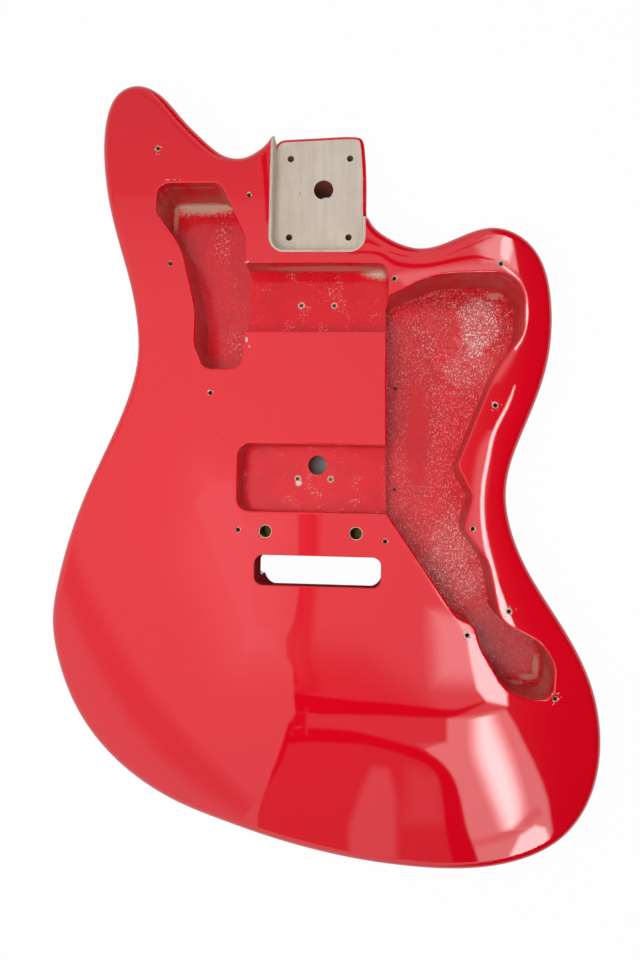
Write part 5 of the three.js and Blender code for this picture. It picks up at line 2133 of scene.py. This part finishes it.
class Studio:
    """The white floor, the lamp, the world and what the polish mirrors."""

    # The world: its light on the body, and its brightness in reflections from left to right
    AMBIENT = 0.5
    LEFT_GLOW = 1.2
    RIGHT_GLOW = 0.03
    TURN_TO_RIGHT = (-0.1, 0.25)

    # The floor in metres, and its brightness
    FLOOR_GAP = 0.0006
    FLOOR_REACH = 4.0
    FLOOR_GLOW = 0.975
    PAPER_TONE = 0.9

    # The floor under the two through holes: its reach in metres, its soft edge, and how dark the painted
    # shadow under the wire hole is
    SHADED_REACH = 0.016
    SHADED_START = 0.9
    SHADED_TONE = 0.03
    SHADED_SHARE = 0.68
    HEEL_GLOW = 0.33

    def build(self, view: LensView, outline: Outline) -> None:
        """Sets the studio up."""
        self._world()
        self._floor()
        self._lamp(KEY_LAMP)
        reflections = Reflections(view, outline)
        for panel in PANELS:
            reflections.add_panel(panel)
        for band in BANDS:
            reflections.add_band(band)

    def _world(self) -> None:
        """White for the camera, even all round for the body, and in reflections bright only on the left."""
        world = bpy.data.worlds.new("studio")
        world.use_nodes = True
        bpy.context.scene.world = world
        graph = Graph(world.node_tree)
        glossy = graph.ray("Glossy")
        direction = graph.node("ShaderNodeTexCoord", output="Generated")
        across = graph.node("ShaderNodeSeparateXYZ", None, {0: direction}, "X")
        mirrored = self.LEFT_GLOW - across.ramp(*self.TURN_TO_RIGHT) * (self.LEFT_GLOW - self.RIGHT_GLOW)
        dim = glossy * mirrored + (1 - glossy) * self.AMBIENT
        white = graph.ray("Camera") + graph.ray("Transmission")
        glow = {"Color": WHITE, "Strength": white + (1 - white) * dim}
        graph.surface(graph.node("ShaderNodeBackground", None, glow), "ShaderNodeOutputWorld")

    def _floor(self) -> None:
        """The white floor, on which the body's shadow just shows, with a painted shadow under the wire hole.
        """
        signs = ((-1, -1), (1, -1), (1, 1), (-1, 1))
        corners = [(x * self.FLOOR_REACH, y * self.FLOOR_REACH, -self.FLOOR_GAP) for x, y in signs]
        mesh = bpy.data.meshes.new("white_floor")
        mesh.from_pydata(corners, [], [(0, 1, 2, 3)])
        material, graph = new_material("white_floor")
        paper, dark = (
            graph.node("ShaderNodeBsdfDiffuse", None, {"Color": (tone,) * 3})
            for tone in (self.PAPER_TONE, self.SHADED_TONE)
        )
        glow = graph.node("ShaderNodeEmission", None, {"Color": WHITE, "Strength": 1.0})
        wire = self._away(graph, CAVITY.wire_hole_off_centre, CAVITY.wire_hole_from_studs)
        heel = self._away(graph, POCKET.heel_hole_off_centre, POCKET.from_studs + POCKET.heel_hole_from_end)
        seen = (graph.ray("Camera") + graph.ray("Glossy")) * self.FLOOR_GLOW
        share = seen * wire * (self.HEEL_GLOW + heel * (1 - self.HEEL_GLOW))
        # Under the wire hole the paper is mixed with dark paper: a painted shadow
        shaded = graph.blend((1 - wire) * self.SHADED_SHARE, paper, dark)
        graph.surface(graph.blend(share, shaded, glow))
        mesh.materials.append(material)
        add_object("white_floor", mesh)

    def _away(self, graph: Graph, off_centre: float, from_studs: float) -> Value:
        """One away from a through hole, and nothing under it."""
        hole = ((BODY.centreline_x + off_centre) * MM, (BODY.stud_line_y + from_studs) * MM, 0)
        away = graph.vector("DISTANCE", graph.place(), hole, "Value")
        return away.ramp(self.SHADED_REACH * self.SHADED_START, self.SHADED_REACH)

    def _lamp(self, lamp: Lamp) -> None:
        """Adds one soft lamp that shines straight down."""
        data = bpy.data.lights.new(lamp.name, "AREA")
        data.shape = "DISK"
        data.size = lamp.size
        data.energy = lamp.power
        thing = add_object(lamp.name, data)
        thing.location = lamp.place
        thing.visible_glossy = False
        thing.visible_camera = False


class GuitarBody:
    """The whole body: builds each piece and sets it in its node's place."""

    def build(self, outline: Outline) -> None:
        """Builds every piece inside an outline."""
        plan = Plan(outline, Routing(), Chips())
        LOG.info("plan: %d points, %d triangles", len(plan.xy), len(plan.triangles))
        pieces = BodyPieces(plan, Heights(plan))
        lacquer = [LacquerLook().make()]
        finishes = BoardMaterials().by_finish
        bass = BODY.centreline_x - BODY.bass_joint_offset
        treble = BODY.centreline_x + BODY.treble_joint_offset
        self._set(pieces.lacquer_front(lacquer), "front_and_edge_lacquer", "lacquer")
        self._set(pieces.lacquer_back(lacquer), "back_lacquer", "lacquer")
        self._set(pieces.board("bass_board", -BODY.width, bass, finishes), "bass_side_board", "wood")
        self._set(pieces.board("middle_board", bass, treble, finishes), "centre_board", "wood")
        self._set(pieces.board("treble_board", treble, BODY.width, finishes), "treble_side_board", "wood")

    @staticmethod
    def _set(piece: bpy.types.Object, node: str, slot: str) -> None:
        """Puts a piece in its node's place."""
        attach(piece, "root")
        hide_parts(node)
        LOG.info("%s: %d faces", piece.name, len(piece.data.polygons))


def main() -> None:
    """Builds the body and the studio round it."""
    logging.basicConfig(level=logging.INFO, format="%(name)s: %(message)s")
    view = LensView()
    outline = Outline(BODY)
    GuitarBody().build(outline)
    Studio().build(view, outline)
    view.place_camera()
    bpy.context.scene.view_settings.view_transform = "Standard"


if __name__ == "__main__":
    main()
